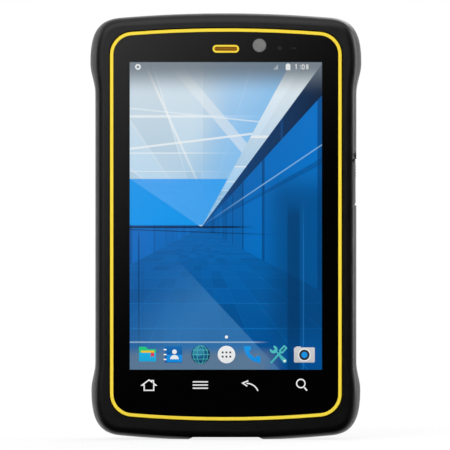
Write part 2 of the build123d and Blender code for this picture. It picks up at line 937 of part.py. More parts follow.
def key_board_spans():
    """Heights that the left and the right key board reach from and to."""
    left_low = function_key_height - function_key_length / 2 - key_board_margin
    left_high = volume_up_height + volume_key_length / 2 + key_board_margin
    right_low = power_key_height - power_key_length / 2 - key_board_margin
    right_high = power_key_height + power_key_length / 2 + key_board_margin
    return (left_low, left_high), (right_low, right_high)


def key_board_rails():
    """Rails on the inner walls that the key boards are fixed to."""
    rails = []
    y_from = key_middle - key_board_width / 2
    y_to = key_middle + key_board_width / 2
    for on_left, (low, high) in zip((True, False), key_board_spans()):
        for rail_low in (low, high - rail_height):
            rail = block(key_board_face, shell_half + fit_gap, y_from, y_to, rail_low, rail_low + rail_height)
            rails.append(to_left(rail) if on_left else rail)
    return rails


def cover_screw_places():
    """The four screw places of the battery cover."""
    x = battery_cover_width / 2 - cover_screw_setback
    z = battery_cover_height / 2 - cover_screw_setback
    return [(side * x, battery_middle + end * z) for side in (-1, 1) for end in (-1, 1)]


def rear_shell():
    """The bare rear shell with its columns, bosses, rails and ears."""
    shell = slab(crowned(housing_half, housing_low, housing_high, housing_corner), parting_y, rear_y)
    inner = crowned(shell_half, shell_low, shell_high, housing_corner - cover_wall)
    shell -= slab(inner, parting_y - overrun, shell_y)
    shell += screw_cuts(screw_column_radius, parting_y, shell_y)
    rim_y = shell_y - battery_rim_depth
    shell += slab(battery_outline(battery_rim_width, battery_corner + battery_rim_width), rim_y, shell_y)
    shell += [disc(x, z, cover_boss_radius, rim_y, shell_y) for x, z in cover_screw_places()]
    boss_y = rear_y - insert_length - insert_boss_floor
    shell += [disc(x, z, insert_boss_radius, boss_y, shell_y) for x, z in insert_places]
    shell += key_board_rails()
    shell += hinge_ears()
    return shell


def rear_cover():
    """Rear shell with every opening cut."""
    shell = rear_shell()
    shell -= slab(battery_outline(0, battery_corner), shell_y - battery_rim_depth - overrun, rear_y)
    recess = battery_outline(battery_ledge + battery_cover_gap, battery_cover_corner + battery_cover_gap)
    shell -= slab(recess, seal_seat, rear_y + overrun)
    bite_y = cover_seat + cover_screw_head_height - cover_screw_length
    hole = cover_screw_radius + screw_hole_gap
    shell -= [disc(x, z, hole, bite_y, rear_y) for x, z in cover_screw_places()]
    shell -= screw_cuts(screw_shank_radius + screw_hole_gap, parting_y - overrun, rear_y + overrun)
    head_seat = rear_y - screw_head_sink - screw_head_height
    shell -= screw_cuts(screw_head_radius + screw_head_gap, head_seat, rear_y + overrun)
    shell -= [disc(x, z, insert_radius, rear_y - insert_length, rear_y + overrun) for x, z in insert_places]
    camera_hole = rear_camera_ring_radius + rear_camera_hole_gap
    camera_height = shell_high - rear_camera_drop
    shell -= disc(rear_camera_offset, camera_height, camera_hole, shell_y - overrun, rear_y + overrun)
    shell -= disc(flash_offset, camera_height, flash_radius + flash_gap, shell_y - overrun, rear_y + overrun)
    slot = Rot(0, 0, 90) * SlotOverall(speaker_slot_height, speaker_slot_width)
    slot_z = speaker_slot_high - speaker_slot_height / 2
    for side in (-1, 1):
        for place in GridLocations(speaker_slot_pitch, 0, speaker_slot_count, 1):
            opening = Pos(side * speaker_offset, slot_z) * place * slot
            shell -= slab(opening, shell_y - overrun, rear_y + overrun)
    shell -= side_slab(port_outline(0), shell_half - overrun, housing_half + overrun)
    shell -= key_cut(key_flange + key_gap, housing_half - key_pocket_depth, housing_half + overrun)
    shell -= plunger_cut()
    shell -= floor_slab(dock_outline(dock_gap), cavity_low, shell_low + overrun)
    shell -= gasket_ring(0)
    first_ear, last_ear = ear_starts()
    bore = hinge_pin_radius + hinge_bore_gap
    shell -= disc(hinge_x, hinge_z, bore, first_ear - overrun, last_ear + ear_thickness + overrun)
    return shell


def housing_screws():
    """Screws that hold the rear cover and the mid frame to the front housing."""
    head_top = rear_y - screw_head_sink
    head_seat = head_top - screw_head_height
    socket = RegularPolygon(screw_socket_radius, 6)
    screws = []
    for x, z in screw_places:
        screw = disc(x, z, screw_head_radius, head_seat, head_top)
        screw += disc(x, z, screw_shank_radius, mid_front - screw_bite, head_seat)
        screw -= slab(Pos(x, z) * socket, head_top - screw_socket_depth, head_top + overrun)
        screws.append(screw)
    return screws


def strap_inserts():
    """Threaded inserts in the back for a hand strap or a bracket."""
    inserts = []
    inner = rear_y - insert_length
    for x, z in insert_places:
        insert = disc(x, z, insert_radius, inner, rear_y)
        inserts.append(insert - disc(x, z, insert_bore_radius, inner - overrun, rear_y + overrun))
    return inserts


def battery_pack():
    """Flat battery in its bay."""
    outline = Pos(0, battery_middle) * RectangleRounded(battery_width, battery_height, battery_corner)
    return slab(outline, mid_back, cover_seat - battery_lift)


def battery_cover():
    """Lid of the battery bay, flush with the back, with a finger dish."""
    lid = slab(battery_outline(battery_ledge, battery_cover_corner), cover_seat, rear_y)
    head = cover_screw_head_radius + screw_hole_gap
    hole = cover_screw_radius + screw_hole_gap
    for x, z in cover_screw_places():
        lid -= disc(x, z, head, rear_y - cover_screw_head_height, rear_y + overrun)
        lid -= disc(x, z, hole, cover_seat - overrun, rear_y)
    dish_z = battery_middle + battery_cover_height / 2
    return lid - disc(0, dish_z, pull_radius, rear_y - pull_depth, rear_y + overrun)


def battery_seal():
    """Soft frame under the battery cover."""
    outer = battery_outline(seal_setback + seal_width, battery_corner + seal_setback + seal_width)
    inner = battery_outline(seal_setback, battery_corner + seal_setback)
    return slab(outer, seal_seat, cover_seat) - slab(inner, seal_seat, cover_seat)


def battery_cover_screws():
    """Screws of the battery cover."""
    head_seat = rear_y - cover_screw_head_height
    socket_floor = rear_y - cover_screw_head_height / 2
    tip = cover_seat + cover_screw_head_height - cover_screw_length
    socket = RegularPolygon(screw_socket_radius, 6)
    screws = []
    for x, z in cover_screw_places():
        screw = disc(x, z, cover_screw_head_radius, head_seat, rear_y)
        screw += disc(x, z, cover_screw_radius, tip, head_seat)
        screws.append(screw - slab(Pos(x, z) * socket, socket_floor, rear_y + overrun))
    return screws


def battery_contacts():
    """Contact block on the board that meets the battery."""
    low = battery_high + contact_block_gap
    half = contact_block_width / 2
    return block(-half, half, board_back, board_back + contact_block_depth, low, low + contact_block_height)


def main_board():
    """Main circuit board."""
    board = slab(Pos(0, board_middle) * Rectangle(2 * board_half, board_height), board_front, board_back)
    notch = screw_column_radius + board_notch_gap
    board -= screw_cuts(notch, board_front - overrun, board_back + overrun)
    hole = board_screw_radius + screw_hole_gap
    board -= [disc(x, z, hole, board_front - overrun, board_back + overrun) for x, z in board_screw_places()]
    return board


def board_screws():
    """Screws that hold the main board to the mid frame."""
    screws = []
    for x, z in board_screw_places():
        screw = disc(x, z, board_screw_head_radius, board_back, board_back + board_screw_head_height)
        screws.append(screw + disc(x, z, board_screw_radius, mid_front, board_back))
    return screws


def shield_cans():
    """Metal cans over the chips of the main board."""
    cans = []
    for x_share, z_share, width_share, height_share in shield_boxes_shares:
        place = Pos(x_share * board_half, board_low + z_share * board_height)
        can = RectangleRounded(width_share * board_half, height_share * board_height, shield_corner)
        cans.append(slab(place * can, board_back, board_back + shield_height))
    return cans


def card_socket():
    """Card socket on the board, open towards the battery bay."""
    half = card_socket_width / 2
    card_socket_offset = card_socket_share * board_half
    low = board_low + part_gap
    high = low + card_socket_height
    back = board_back + card_socket_depth
    socket = block(card_socket_offset - half, card_socket_offset + half, board_back, back, low, high)
    slot_half = card_slot_width / 2
    slot_y = board_back + (card_socket_depth - card_slot_height) / 2
    slot_left = card_socket_offset - slot_half
    slot_right = card_socket_offset + slot_half
    slot_high = high - (card_socket_width - card_slot_width) / 2
    return socket - block(slot_left, slot_right, slot_y, slot_y + card_slot_height, low - overrun, slot_high)


def plug_socket(low, width, depth, wall, corner, tongue_width, tongue_depth):
    """A metal socket on the board edge with an open mouth and a tongue inside."""
    middle_y = board_back + depth / 2
    middle_z = low + width / 2
    inner_x = socket_mouth - usb_length
    place = Pos(middle_y, middle_z)
    shell = side_slab(place * RectangleRounded(depth, width, corner), inner_x, socket_mouth)
    mouth = place * RectangleRounded(depth - 2 * wall, width - 2 * wall, corner - wall)
    shell -= side_slab(mouth, inner_x + 2 * wall, socket_mouth + overrun)
    tongue_x = socket_mouth - 2 * wall
    return shell + side_slab(place * Rectangle(tongue_depth, tongue_width), inner_x + wall, tongue_x)


def usb_socket():
    """Round-cornered data and charging socket, the lower of the two."""
    sizes = (usb_width, usb_depth, usb_wall, usb_corner, usb_tongue_width, usb_tongue_depth)
    return plug_socket(sockets_low, *sizes)


def hdmi_socket():
    """Picture socket, the upper of the two."""
    low = sockets_low + usb_width + socket_spacing
    sizes = (hdmi_width, hdmi_depth, hdmi_wall, hdmi_corner, hdmi_tongue_width, hdmi_tongue_depth)
    return plug_socket(low, *sizes)


def port_door():
    """Hinged cover over the sockets, following the side of the bumper."""
    outside = waist_half + bulge_reach
    door = side_slab(door_outline(0), door_inner_x, outside)
    door -= block(shell_half, outside, front_y, back_y, door_low - overrun, hinge_z)
    door += disc(hinge_x, hinge_z, hinge_radius, door_front, door_back)
    door &= body_solid(door_recess)
    for y_from in ear_starts():
        slot_from = y_from - hinge_side_gap
        slot_to = y_from + ear_thickness + hinge_side_gap
        door -= block(shell_half, outside, slot_from, slot_to, door_low - overrun, leaf_low)
    bore = hinge_pin_radius + hinge_bore_gap
    return door - disc(hinge_x, hinge_z, bore, knuckle_low - overrun, knuckle_high + overrun)


def door_seal():
    """Soft frame on the inside of the door."""
    outer = side_slab(port_outline(door_seal_width), housing_half + door_seal_gap, door_inner_x)
    return outer - side_slab(port_outline(0), housing_half - overrun, door_inner_x + overrun)


def door_pin():
    """Hinge pin of the door."""
    y_from, last_ear = ear_starts()
    return disc(hinge_x, hinge_z, hinge_pin_radius, y_from, last_ear + ear_thickness)


def side_key(on_left, height, length):
    """A side key: cap, flange behind the bumper and plunger."""
    place = Pos(key_middle, height)
    cap = side_slab(place * key_outline(length, 0), flange_inner, waist_half - key_recess)
    cap = fillet(cap.edges().group_by(Axis.X)[-1], key_edge)
    key = cap + side_slab(place * key_outline(length, key_flange), flange_inner, flange_outer)
    key += side_rod(key_middle, height, key_plunger_radius, plunger_tip, flange_inner)
    return to_left(key) if on_left else key


def key_board(on_left, low, high):
    """Board behind the side keys of one side, with a switch for each key."""
    y_from = key_middle - key_board_width / 2
    y_to = key_middle + key_board_width / 2
    board = block(key_board_inner, key_board_face, y_from, y_to, low, high)
    for key_left, height, _ in key_places().values():
        if key_left == on_left:
            switch = Pos(key_middle, height) * Rectangle(switch_size, switch_size)
            board += side_slab(switch, key_board_face, switch_face)
    return to_left(board) if on_left else board


def rear_camera_ring():
    """Ring that guards the rear camera."""
    z = shell_high - rear_camera_drop
    ring_back = rear_y + rear_camera_ring_proud
    ring = disc(rear_camera_offset, z, rear_camera_ring_radius, shell_y, ring_back)
    ring = chamfer(ring.edges().group_by(Axis.Y)[-1], rear_camera_ring_edge)
    inner = rear_camera_ring_radius - rear_camera_ring_width
    ring -= disc(rear_camera_offset, z, inner, rear_camera_glass_inner(), ring_back + overrun)
    seat = inner - rear_camera_seat_width
    return ring - disc(rear_camera_offset, z, seat, shell_y - overrun, ring_back)


def rear_camera_glass_inner():
    """Depth of the inner face of the rear camera glass."""
    return rear_y + rear_camera_ring_proud - rear_camera_glass_sink - rear_camera_glass


def rear_camera_glass_piece():
    """Glass of the rear camera."""
    z = shell_high - rear_camera_drop
    radius = rear_camera_ring_radius - rear_camera_ring_width - rear_camera_glass_gap
    inner = rear_camera_glass_inner()
    return disc(rear_camera_offset, z, radius, inner, inner + rear_camera_glass)


def rear_camera_module():
    """Rear camera on the main board."""
    z = shell_high - rear_camera_drop
    body_back = shell_y - rear_camera_body_gap
    body = Pos(rear_camera_offset, z) * Rectangle(rear_camera_body, rear_camera_body)
    barrel_back = rear_camera_glass_inner() - rear_camera_barrel_gap
    module = slab(body, board_back, body_back)
    return module + disc(rear_camera_offset, z, rear_camera_barrel_radius, body_back, barrel_back)


def flash_lens():
    """Clear lens of the flash beside the rear camera."""
    z = shell_high - rear_camera_drop
    lens = disc(flash_offset, z, flash_radius, shell_y, rear_y)
    return lens + disc(flash_offset, z, flash_flange_radius, shell_y - flash_flange_thickness, shell_y)


def loudspeakers():
    """Two loudspeaker boxes behind the slots."""
    height = speaker_high - speaker_low
    z = (speaker_high + speaker_low) / 2
    outline = RectangleRounded(speaker_width, height, speaker_corner)
    return [
        slab(Pos(side * speaker_offset, z) * outline, shell_y - speaker_depth, shell_y)
        for side in (-1, 1)
    ]


def motor_places():
    """Depth and height of the axis of the vibration motor."""
    return mid_back + motor_bracket_floor + motor_radius, motor_z


def motor_bracket():
    """Cradle that holds the vibration motor on the mid frame."""
    y, z = motor_places()
    half = motor_length / 2
    side = motor_bracket_width / 2
    cradle = block(motor_offset - half, motor_offset + half, mid_back, y, z - side, z + side)
    return cradle - side_rod(y, z, motor_radius, motor_offset - motor_length, motor_offset + motor_length)


def vibration_motor():
    """Body of the vibration motor."""
    y, z = motor_places()
    end = motor_offset + motor_length / 2
    body = side_rod(y, z, motor_radius, motor_offset - motor_length / 2, end)
    bore = motor_shaft_radius + motor_shaft_gap
    return body - side_rod(y, z, bore, end - motor_shaft_depth - motor_weight_gap, end + overrun)


def vibration_weight():
    """Half-round weight on the motor shaft, hanging down."""
    y, z = motor_places()
    end = motor_offset + motor_length / 2
    weight_from = end + motor_weight_gap
    weight_to = weight_from + motor_weight_length
    radius = motor_weight_radius
    weight = side_rod(y, z, radius, weight_from, weight_to)
    weight -= block(weight_from, weight_to, y - radius, y + radius, z + motor_shaft_radius, z + radius)
    return weight + side_rod(y, z, motor_shaft_radius, end - motor_shaft_depth, weight_to)


def dock_outline(margin):
    """The outline of the dock connector, grown by a margin."""
    width = dock_width + 2 * margin
    depth = dock_depth + 2 * margin
    return Pos(0, dock_middle) * RectangleRounded(width, depth, dock_corner + margin)


def dock_face():
    """Height of the contact face of the dock connector."""
    return notch_depth + dock_recess


def dock_connector():
    """Dock connector in the bottom edge, with a flange inside the rear cover."""
    half = dock_width / 2 + dock_flange
    rise = crown_radius_bottom - math.sqrt(crown_radius_bottom**2 - half**2)
    flange_low = shell_low + rise
    flange_high = flange_low + dock_flange_thickness
    body = floor_slab(dock_outline(0), dock_face(), flange_high)
    return body + floor_slab(dock_outline(dock_flange), flange_low, flange_high)


def dock_contacts():
    """Flat contacts on the face of the dock connector."""
    low = dock_face() - dock_pad_thickness
    pads = []
    for place in GridLocations(dock_pad_pitch, 0, dock_pad_count, 1):
        pad = Pos(0, dock_middle) * place * Rectangle(dock_pad_width, dock_pad_length)
        pads.append(floor_slab(pad, low, dock_face()))
    return pads


def antennas():
    """Two flat antennas on the inside of the back."""
    z = shell_high - antenna_wall_gap - antenna_height / 2
    outline = Rectangle(antenna_width, antenna_height)
    return [
        slab(Pos(side * antenna_offset, z) * outline, shell_y - antenna_thickness, shell_y)
        for side in (-1, 1)
    ]


def all_pieces():
    """Every piece by its name."""
    left_span, right_span = key_board_spans()
    pieces = {
        "bumper": bumper(),
        "trim_ring": trim_ring(),
        "cover_glass": cover_glass(),
        "glass_print": glass_print(),
        "sensor_spots": sensor_discs(0),
        "glass_tape": glass_tape(),
        "touch_key_film": touch_key_film(),
        "earpiece_rim": earpiece_rim_piece(),
        "earpiece_mesh": earpiece_mesh(),
        "earpiece_receiver": earpiece_receiver(),
        "front_camera_window": front_camera_window(),
        "front_camera_module": front_camera_module(),
        "sensor_board": sensor_board(),
        "front_housing": front_housing(),
        "display_panel": display_panel(),
        "display_backlight": display_backlight(),
        "display_flex": display_flex(),
        "mid_frame": mid_frame(),
        "housing_gasket": housing_gasket(),
        "rear_cover": rear_cover(),
        "housing_screws": housing_screws(),
        "strap_inserts": strap_inserts(),
        "battery_pack": battery_pack(),
        "battery_cover": battery_cover(),
        "battery_seal": battery_seal(),
        "battery_cover_screws": battery_cover_screws(),
        "battery_contacts": battery_contacts(),
        "main_board": main_board(),
        "board_screws": board_screws(),
        "shield_cans": shield_cans(),
        "card_socket": card_socket(),
        "usb_socket": usb_socket(),
        "hdmi_socket": hdmi_socket(),
        "port_door": port_door(),
        "door_seal": door_seal(),
        "door_pin": door_pin(),
        "left_key_board": key_board(True, *left_span),
        "right_key_board": key_board(False, *right_span),
        "rear_camera_ring": rear_camera_ring(),
        "rear_camera_glass": rear_camera_glass_piece(),
        "rear_camera_module": rear_camera_module(),
        "flash_lens": flash_lens(),
        "loudspeakers": loudspeakers(),
        "motor_bracket": motor_bracket(),
        "vibration_motor": vibration_motor(),
        "vibration_weight": vibration_weight(),
        "dock_connector": dock_connector(),
        "dock_contacts": dock_contacts(),
        "antennas": antennas(),
    }
    for name, place in key_places().items():
        pieces[name] = side_key(*place)
    return pieces


os.makedirs("parts", exist_ok=True)
for name, piece in all_pieces().items():
    solids = piece if isinstance(piece, list) else [piece]
    export_step(Compound(children=solids), "parts/" + name + ".step")
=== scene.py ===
"""Looks of a rugged handheld computer: finishes, lit screen, marks and details around the CAD frame."""
import json
import logging
import math
from dataclasses import dataclass, field
from enum import Enum
from typing import Callable, Optional, Sequence, Union

import bmesh
import bpy
from mathutils import Matrix, Vector


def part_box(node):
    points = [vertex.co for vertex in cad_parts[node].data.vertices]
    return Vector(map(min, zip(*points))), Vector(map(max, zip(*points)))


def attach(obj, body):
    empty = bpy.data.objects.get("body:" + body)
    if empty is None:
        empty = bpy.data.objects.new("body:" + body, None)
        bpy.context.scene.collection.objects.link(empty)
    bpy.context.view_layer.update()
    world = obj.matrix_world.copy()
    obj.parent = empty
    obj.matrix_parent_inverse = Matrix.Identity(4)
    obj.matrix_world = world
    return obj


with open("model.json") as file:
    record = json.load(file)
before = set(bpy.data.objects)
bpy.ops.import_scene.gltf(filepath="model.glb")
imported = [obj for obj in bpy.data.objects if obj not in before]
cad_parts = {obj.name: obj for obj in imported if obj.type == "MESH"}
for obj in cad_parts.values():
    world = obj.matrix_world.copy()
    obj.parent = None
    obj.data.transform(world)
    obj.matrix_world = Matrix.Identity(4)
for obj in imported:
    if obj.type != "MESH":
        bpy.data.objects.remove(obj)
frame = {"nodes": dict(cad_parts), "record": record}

LOG = logging.getLogger("handheld")
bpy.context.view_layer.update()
MM = 0.001
ROOT_BODY = "housing"

# The Mix node's sockets for a share and two colours, and its colour output
SHARE, FIRST, SECOND, MIXED = 0, 6, 7, 2
# The middle of Blender's noise, where nearly all its values lie
NOISE_MIDDLE = (0.3, 0.7)
# The wave texture's period at a scale of 1
WAVE_PERIOD = math.pi / 10
# Parts of a rounded corner, and the angle from which a turned edge is sharp
CORNER_STEPS = 6
SHARP_ANGLE = math.radians(35)
# A radius up to which a point counts as on the axis
ON_AXIS_MM = 1e-6
# Sides of a rib's round and of its length
RIB_SEGMENTS, RIB_RINGS = 20, 12

# Lowest and highest point of the lit area and of the rows of symbols
SCREEN_MM = (34.2, 184.9)
DOCK_ROW_MM = (36.0, 47.0)
LEGEND_ROW_MM = (23.0, 30.0)
STATUS_ROW_MM = (180.0, 185.0)

Tree = bpy.types.NodeTree
Socket = bpy.types.NodeSocket
Material = bpy.types.Material
Piece = bpy.types.Object
Vert = bmesh.types.BMVert
Face = bmesh.types.BMFace
Point = tuple[float, float]
Outline = list[Point]
SocketValue = Union[float, int, Sequence[float], Socket, Material]
SizeValue = Union[float, int, Vector]


def linear(colour: str) -> tuple[float, float, float, float]:
    """Turn an sRGB hex colour into linear red, green, blue and a full alpha.

    Args:
        colour: A colour such as "#2B2B2C".

    Returns:
        Linear values from 0 to 1.
    """
    parts = [int(colour[start:start + 2], 16) / 255 for start in (1, 3, 5)]
    # The curve of the sRGB standard
    bent = [part / 12.92 if part <= 0.04045 else ((part + 0.055) / 1.055) ** 2.4 for part in parts]
    return (*bent, 1.0)


def add_node(
    tree: Tree,
    kind: str,
    inputs: Optional[dict[Union[str, int], SocketValue]] = None,
    out: Union[str, int] = 0,
    **settings: object,
) -> Optional[Socket]:
    """Add a node with its settings, and fill or link its inputs.

    Args:
        tree: The tree that gets the node.
        kind: Blender's name of the node type.
        inputs: For each input, a plain value or an output socket to link.
        out: Which output is wanted.
        settings: Properties of the node.

    Returns:
        The wanted output, or nothing where the node has none.
    """
    node = tree.nodes.new(kind)
    for name, value in settings.items():
        setattr(node, name, value)
    for key, value in (inputs or {}).items():
        if isinstance(value, Socket):
            tree.links.new(value, node.inputs[key])
        else:
            node.inputs[key].default_value = value
    return node.outputs[out] if node.outputs else None


def new_material(name: str) -> tuple[Material, Tree]:
    """Start an empty node material.

    Args:
        name: The material's name.

    Returns:
        The material and its empty tree.
    """
    material = bpy.data.materials.new(name)
    material.use_nodes = True
    material.node_tree.nodes.clear()
    return material, material.node_tree


def wander(
    tree: Tree,
    size_mm: float,
    low: float,
    high: float,
    detail: float = 2.0,
    stretch: Sequence[float] = (1, 1, 1),
) -> Socket:
    """Let a value wander between two limits, in blotches of a real size on Object coordinates.

    Args:
        tree: The material's tree.
        size_mm: Width of a blotch.
        low: The lower limit.
        high: The upper limit.
        detail: How many finer octaves the blotches have.
        stretch: Scale along each axis, below 1 where the blotches are drawn out.

    Returns:
        The wandering value.
    """
    place = add_node(tree, "ShaderNodeTexCoord", out="Object")
    drawn = add_node(tree, "ShaderNodeMapping", {"Vector": place, "Scale": stretch})
    inputs = {"Vector": drawn, "Scale": 1 / (size_mm * MM), "Detail": detail}
    blotches = add_node(tree, "ShaderNodeTexNoise", inputs)
    least, most = NOISE_MIDDLE
    inputs = {"Value": blotches, "From Min": least, "From Max": most, "To Min": low, "To Max": high}
    return add_node(tree, "ShaderNodeMapRange", inputs)


def finish_off(material: Material, inputs: dict[str, SocketValue]) -> Material:
    """Close a material with one Principled shader.

    Args:
        material: The material.
        inputs: The shader's inputs.

    Returns:
        The finished material.
    """
    shader = add_node(material.node_tree, "ShaderNodeBsdfPrincipled", inputs)
    add_node(material.node_tree, "ShaderNodeOutputMaterial", {"Surface": shader})
    return material


@dataclass(frozen=True)
class TwoTone:
    """What most finishes share: two tones, and a gloss that wanders about its middle."""

    name: str
    colour: str
    second_colour: str
    roughness: float

    def tone(self, tree: Tree, share: Socket) -> Socket:
        """Go from the first tone to the second as a share goes from 0 to 1."""
        inputs = {SHARE: share, FIRST: linear(self.colour), SECOND: linear(self.second_colour)}
        return add_node(tree, "ShaderNodeMix", inputs, out=MIXED, data_type="RGBA")

    def gloss(
        self, tree: Tree, size_mm: float, spread: float, stretch: Sequence[float] = (1, 1, 1)
    ) -> Socket:
        """Let the roughness wander to both sides of its middle."""
        return wander(tree, size_mm, self.roughness - spread, self.roughness + spread, stretch=stretch)


@dataclass(frozen=True)
class Moulded(TwoTone):
    """Moulded rubber or plastic: fine grain, slightly uneven colour and gloss."""

    shine: float = 0.5
    grain_mm: float = 0.6
    grain_depth_mm: float = 0.03
    mottle_mm: float = 14.0
    gloss_spread: float = 0.04

    def material(self) -> Material:
        """Build the node material.

        Returns:
            The material.
        """
        material, tree = new_material(self.name)
        grain = wander(tree, self.grain_mm, 0.0, 1.0, detail=1.0)
        depth = self.grain_depth_mm * MM
        return finish_off(material, {
            "Base Color": self.tone(tree, wander(tree, self.mottle_mm, 0.0, 1.0)),
            "Roughness": self.gloss(tree, self.mottle_mm / 3, self.gloss_spread),
            "Specular IOR Level": self.shine,
            "Normal": add_node(tree, "ShaderNodeBump", {"Height": grain, "Distance": depth}),
        })


@dataclass(frozen=True)
class Metal(TwoTone):
    """Bare or plated metal with fine lines or grain along one direction."""

    line_mm: float = 0.25
    stretch: tuple[float, float, float] = (1.0, 1.0, 1.0)
    line_depth_mm: float = 0.01
    line_strength: float = 0.5
    gloss_spread: float = 0.06

    def material(self) -> Material:
        """Build the node material.

        Returns:
            The material.
        """
        material, tree = new_material(self.name)
        lines = wander(tree, self.line_mm, 0.0, 1.0, stretch=self.stretch)
        inputs = {"Height": lines, "Distance": self.line_depth_mm * MM, "Strength": self.line_strength}
        return finish_off(material, {
            "Base Color": self.tone(tree, lines),
            "Metallic": 1.0,
            "Roughness": self.gloss(tree, self.line_mm, self.gloss_spread, self.stretch),
            "Normal": add_node(tree, "ShaderNodeBump", inputs),
        })


@dataclass(frozen=True)
class Clear(TwoTone):
    """Clear glass or plastic that lets the lamps through to what lies behind it."""

    index: float = 1.5
    tint_mm: float = 40.0

    def material(self) -> Material:
        """Build the node material.

        Returns:
            The material.
        """
        material, tree = new_material(self.name)
        glass = add_node(tree, "ShaderNodeBsdfPrincipled", {
            "Base Color": self.tone(tree, wander(tree, self.tint_mm, 0.0, 1.0)),
            "Roughness": self.roughness,
            "IOR": self.index,
            "Transmission Weight": 1.0,
        })
        passing = add_node(tree, "ShaderNodeBsdfTransparent")
        for_lamps = add_node(tree, "ShaderNodeLightPath", out="Is Shadow Ray")
        mixed = add_node(tree, "ShaderNodeMixShader", {0: for_lamps, 1: glass, 2: passing})
        add_node(tree, "ShaderNodeOutputMaterial", {"Surface": mixed})
        return material


@dataclass(frozen=True)
class Lit(TwoTone):
    """Picture elements with light behind them, or ink made to glow as painted light; the first tone at
    the foot of their row.
    """

    roughness: float = 0.5
    strength: float = 1.0
    row_mm: Point = DOCK_ROW_MM
    unlit_colour: str = "#050505"
    shine: float = 0.1
    gloss_mm: float = 2.0
    gloss_spread: float = 0.05

    def material(self) -> Material:
        """Build the node material.

        Returns:
            The material.
        """
        material, tree = new_material(self.name)
        place = add_node(tree, "ShaderNodeTexCoord", out="Object")
        height = add_node(tree, "ShaderNodeSeparateXYZ", {0: place}, out="Z")
        foot, top = self.row_mm
        inputs = {"Value": height, "From Min": foot * MM, "From Max": top * MM}
        return finish_off(material, {
            "Base Color": linear(self.unlit_colour),
            "Roughness": self.gloss(tree, self.gloss_mm, self.gloss_spread),
            "Specular IOR Level": self.shine,
            "Emission Color": self.tone(tree, add_node(tree, "ShaderNodeMapRange", inputs)),
            "Emission Strength": self.strength,
        })


@dataclass(frozen=True)
class Woven(TwoTone):
    """Plain woven cloth: round threads over and under each other, the first tone in the gaps."""

    thread_mm: float = 0.5
    relief: float = 1 / 3
    gloss_mm: float = 3.0
    gloss_spread: float = 0.05

    def material(self) -> Material:
        """Build the node material.

        Returns:
            The material.
        """
        material, tree = new_material(self.name)
        thread = self.thread_mm * MM
        place = add_node(tree, "ShaderNodeTexCoord", out="Object")
        inputs = {"Vector": place, "Scale": WAVE_PERIOD / thread}
        warp, weft = (
            add_node(tree, "ShaderNodeTexWave", inputs, out="Fac", bands_direction=direction)
            for direction in ("X", "Z")
        )
        weave = add_node(tree, "ShaderNodeMath", {0: warp, 1: weft}, operation="MAXIMUM")
        depth = thread * self.relief
        return finish_off(material, {
            "Base Color": self.tone(tree, weave),
            "Roughness": self.gloss(tree, self.gloss_mm, self.gloss_spread),
            "Normal": add_node(tree, "ShaderNodeBump", {"Height": weave, "Distance": depth}),
        })


@dataclass(frozen=True)
class CircuitBoard(TwoTone):
    """Glass-fibre board under solder mask, with copper tracks that show as lines in the first tone."""

    track_mm: float = 2.2
    track_edge: Point = (0.3, 0.42)
    gloss_mm: float = 1.0
    gloss_spread: float = 0.06

    def material(self) -> Material:
        """Build the node material.

        Returns:
            The material.
        """
        material, tree = new_material(self.name)
        place = add_node(tree, "ShaderNodeTexCoord", out="Object")
        inputs = {"Vector": place, "Scale": 1 / (self.track_mm * MM)}
        cells = add_node(tree, "ShaderNodeTexVoronoi", inputs, out="Distance", distance="CHEBYCHEV")
        inner, outer = self.track_edge
        inputs = {"Value": cells, "From Min": inner, "From Max": outer}
        return finish_off(material, {
            "Base Color": self.tone(tree, add_node(tree, "ShaderNodeMapRange", inputs)),
            "Roughness": self.gloss(tree, self.gloss_mm, self.gloss_spread),
        })


@dataclass(frozen=True)
class Drawing:
    """What a picture's layers are drawn on: places on the screen and directions in the drawn hall."""

    tree: Tree
    parts: Socket
    offset: Socket
    turn: Socket
    foot_mm: float

    def band(self, value: Socket, start: float, end: float, soft: float) -> Socket:
        """Give 1 between two limits and 0 outside them.

        Args:
            value: What is tested.
            start: Where the band starts.
            end: Where it ends.
            soft: Width of its soft edges.

        Returns:
            The band.
        """
        edges = [
            add_node(
                self.tree,
                "ShaderNodeMapRange",
                {"Value": value, "From Min": outside, "From Max": inside},
                interpolation_type="SMOOTHSTEP",
            )
            for outside, inside in ((start, start + soft), (end + soft, end))
        ]
        return add_node(self.tree, "ShaderNodeMath", {0: edges[0], 1: edges[1]}, operation="MULTIPLY")

    def along(self, angle_deg: float) -> Socket:
        """Measure along a direction from the middle of the screen's foot.

        Args:
            angle_deg: The direction, turned up from the right.

        Returns:
            Millimetres along it.
        """
        angle = math.radians(angle_deg)
        parts = self.parts.node.outputs
        inputs = {0: parts["Z"], 1: math.sin(angle) / MM, 2: -self.foot_mm * math.sin(angle)}
        rise = add_node(self.tree, "ShaderNodeMath", inputs, operation="MULTIPLY_ADD")
        inputs = {0: parts["X"], 1: math.cos(angle) / MM, 2: rise}
        return add_node(self.tree, "ShaderNodeMath", inputs, operation="MULTIPLY_ADD")


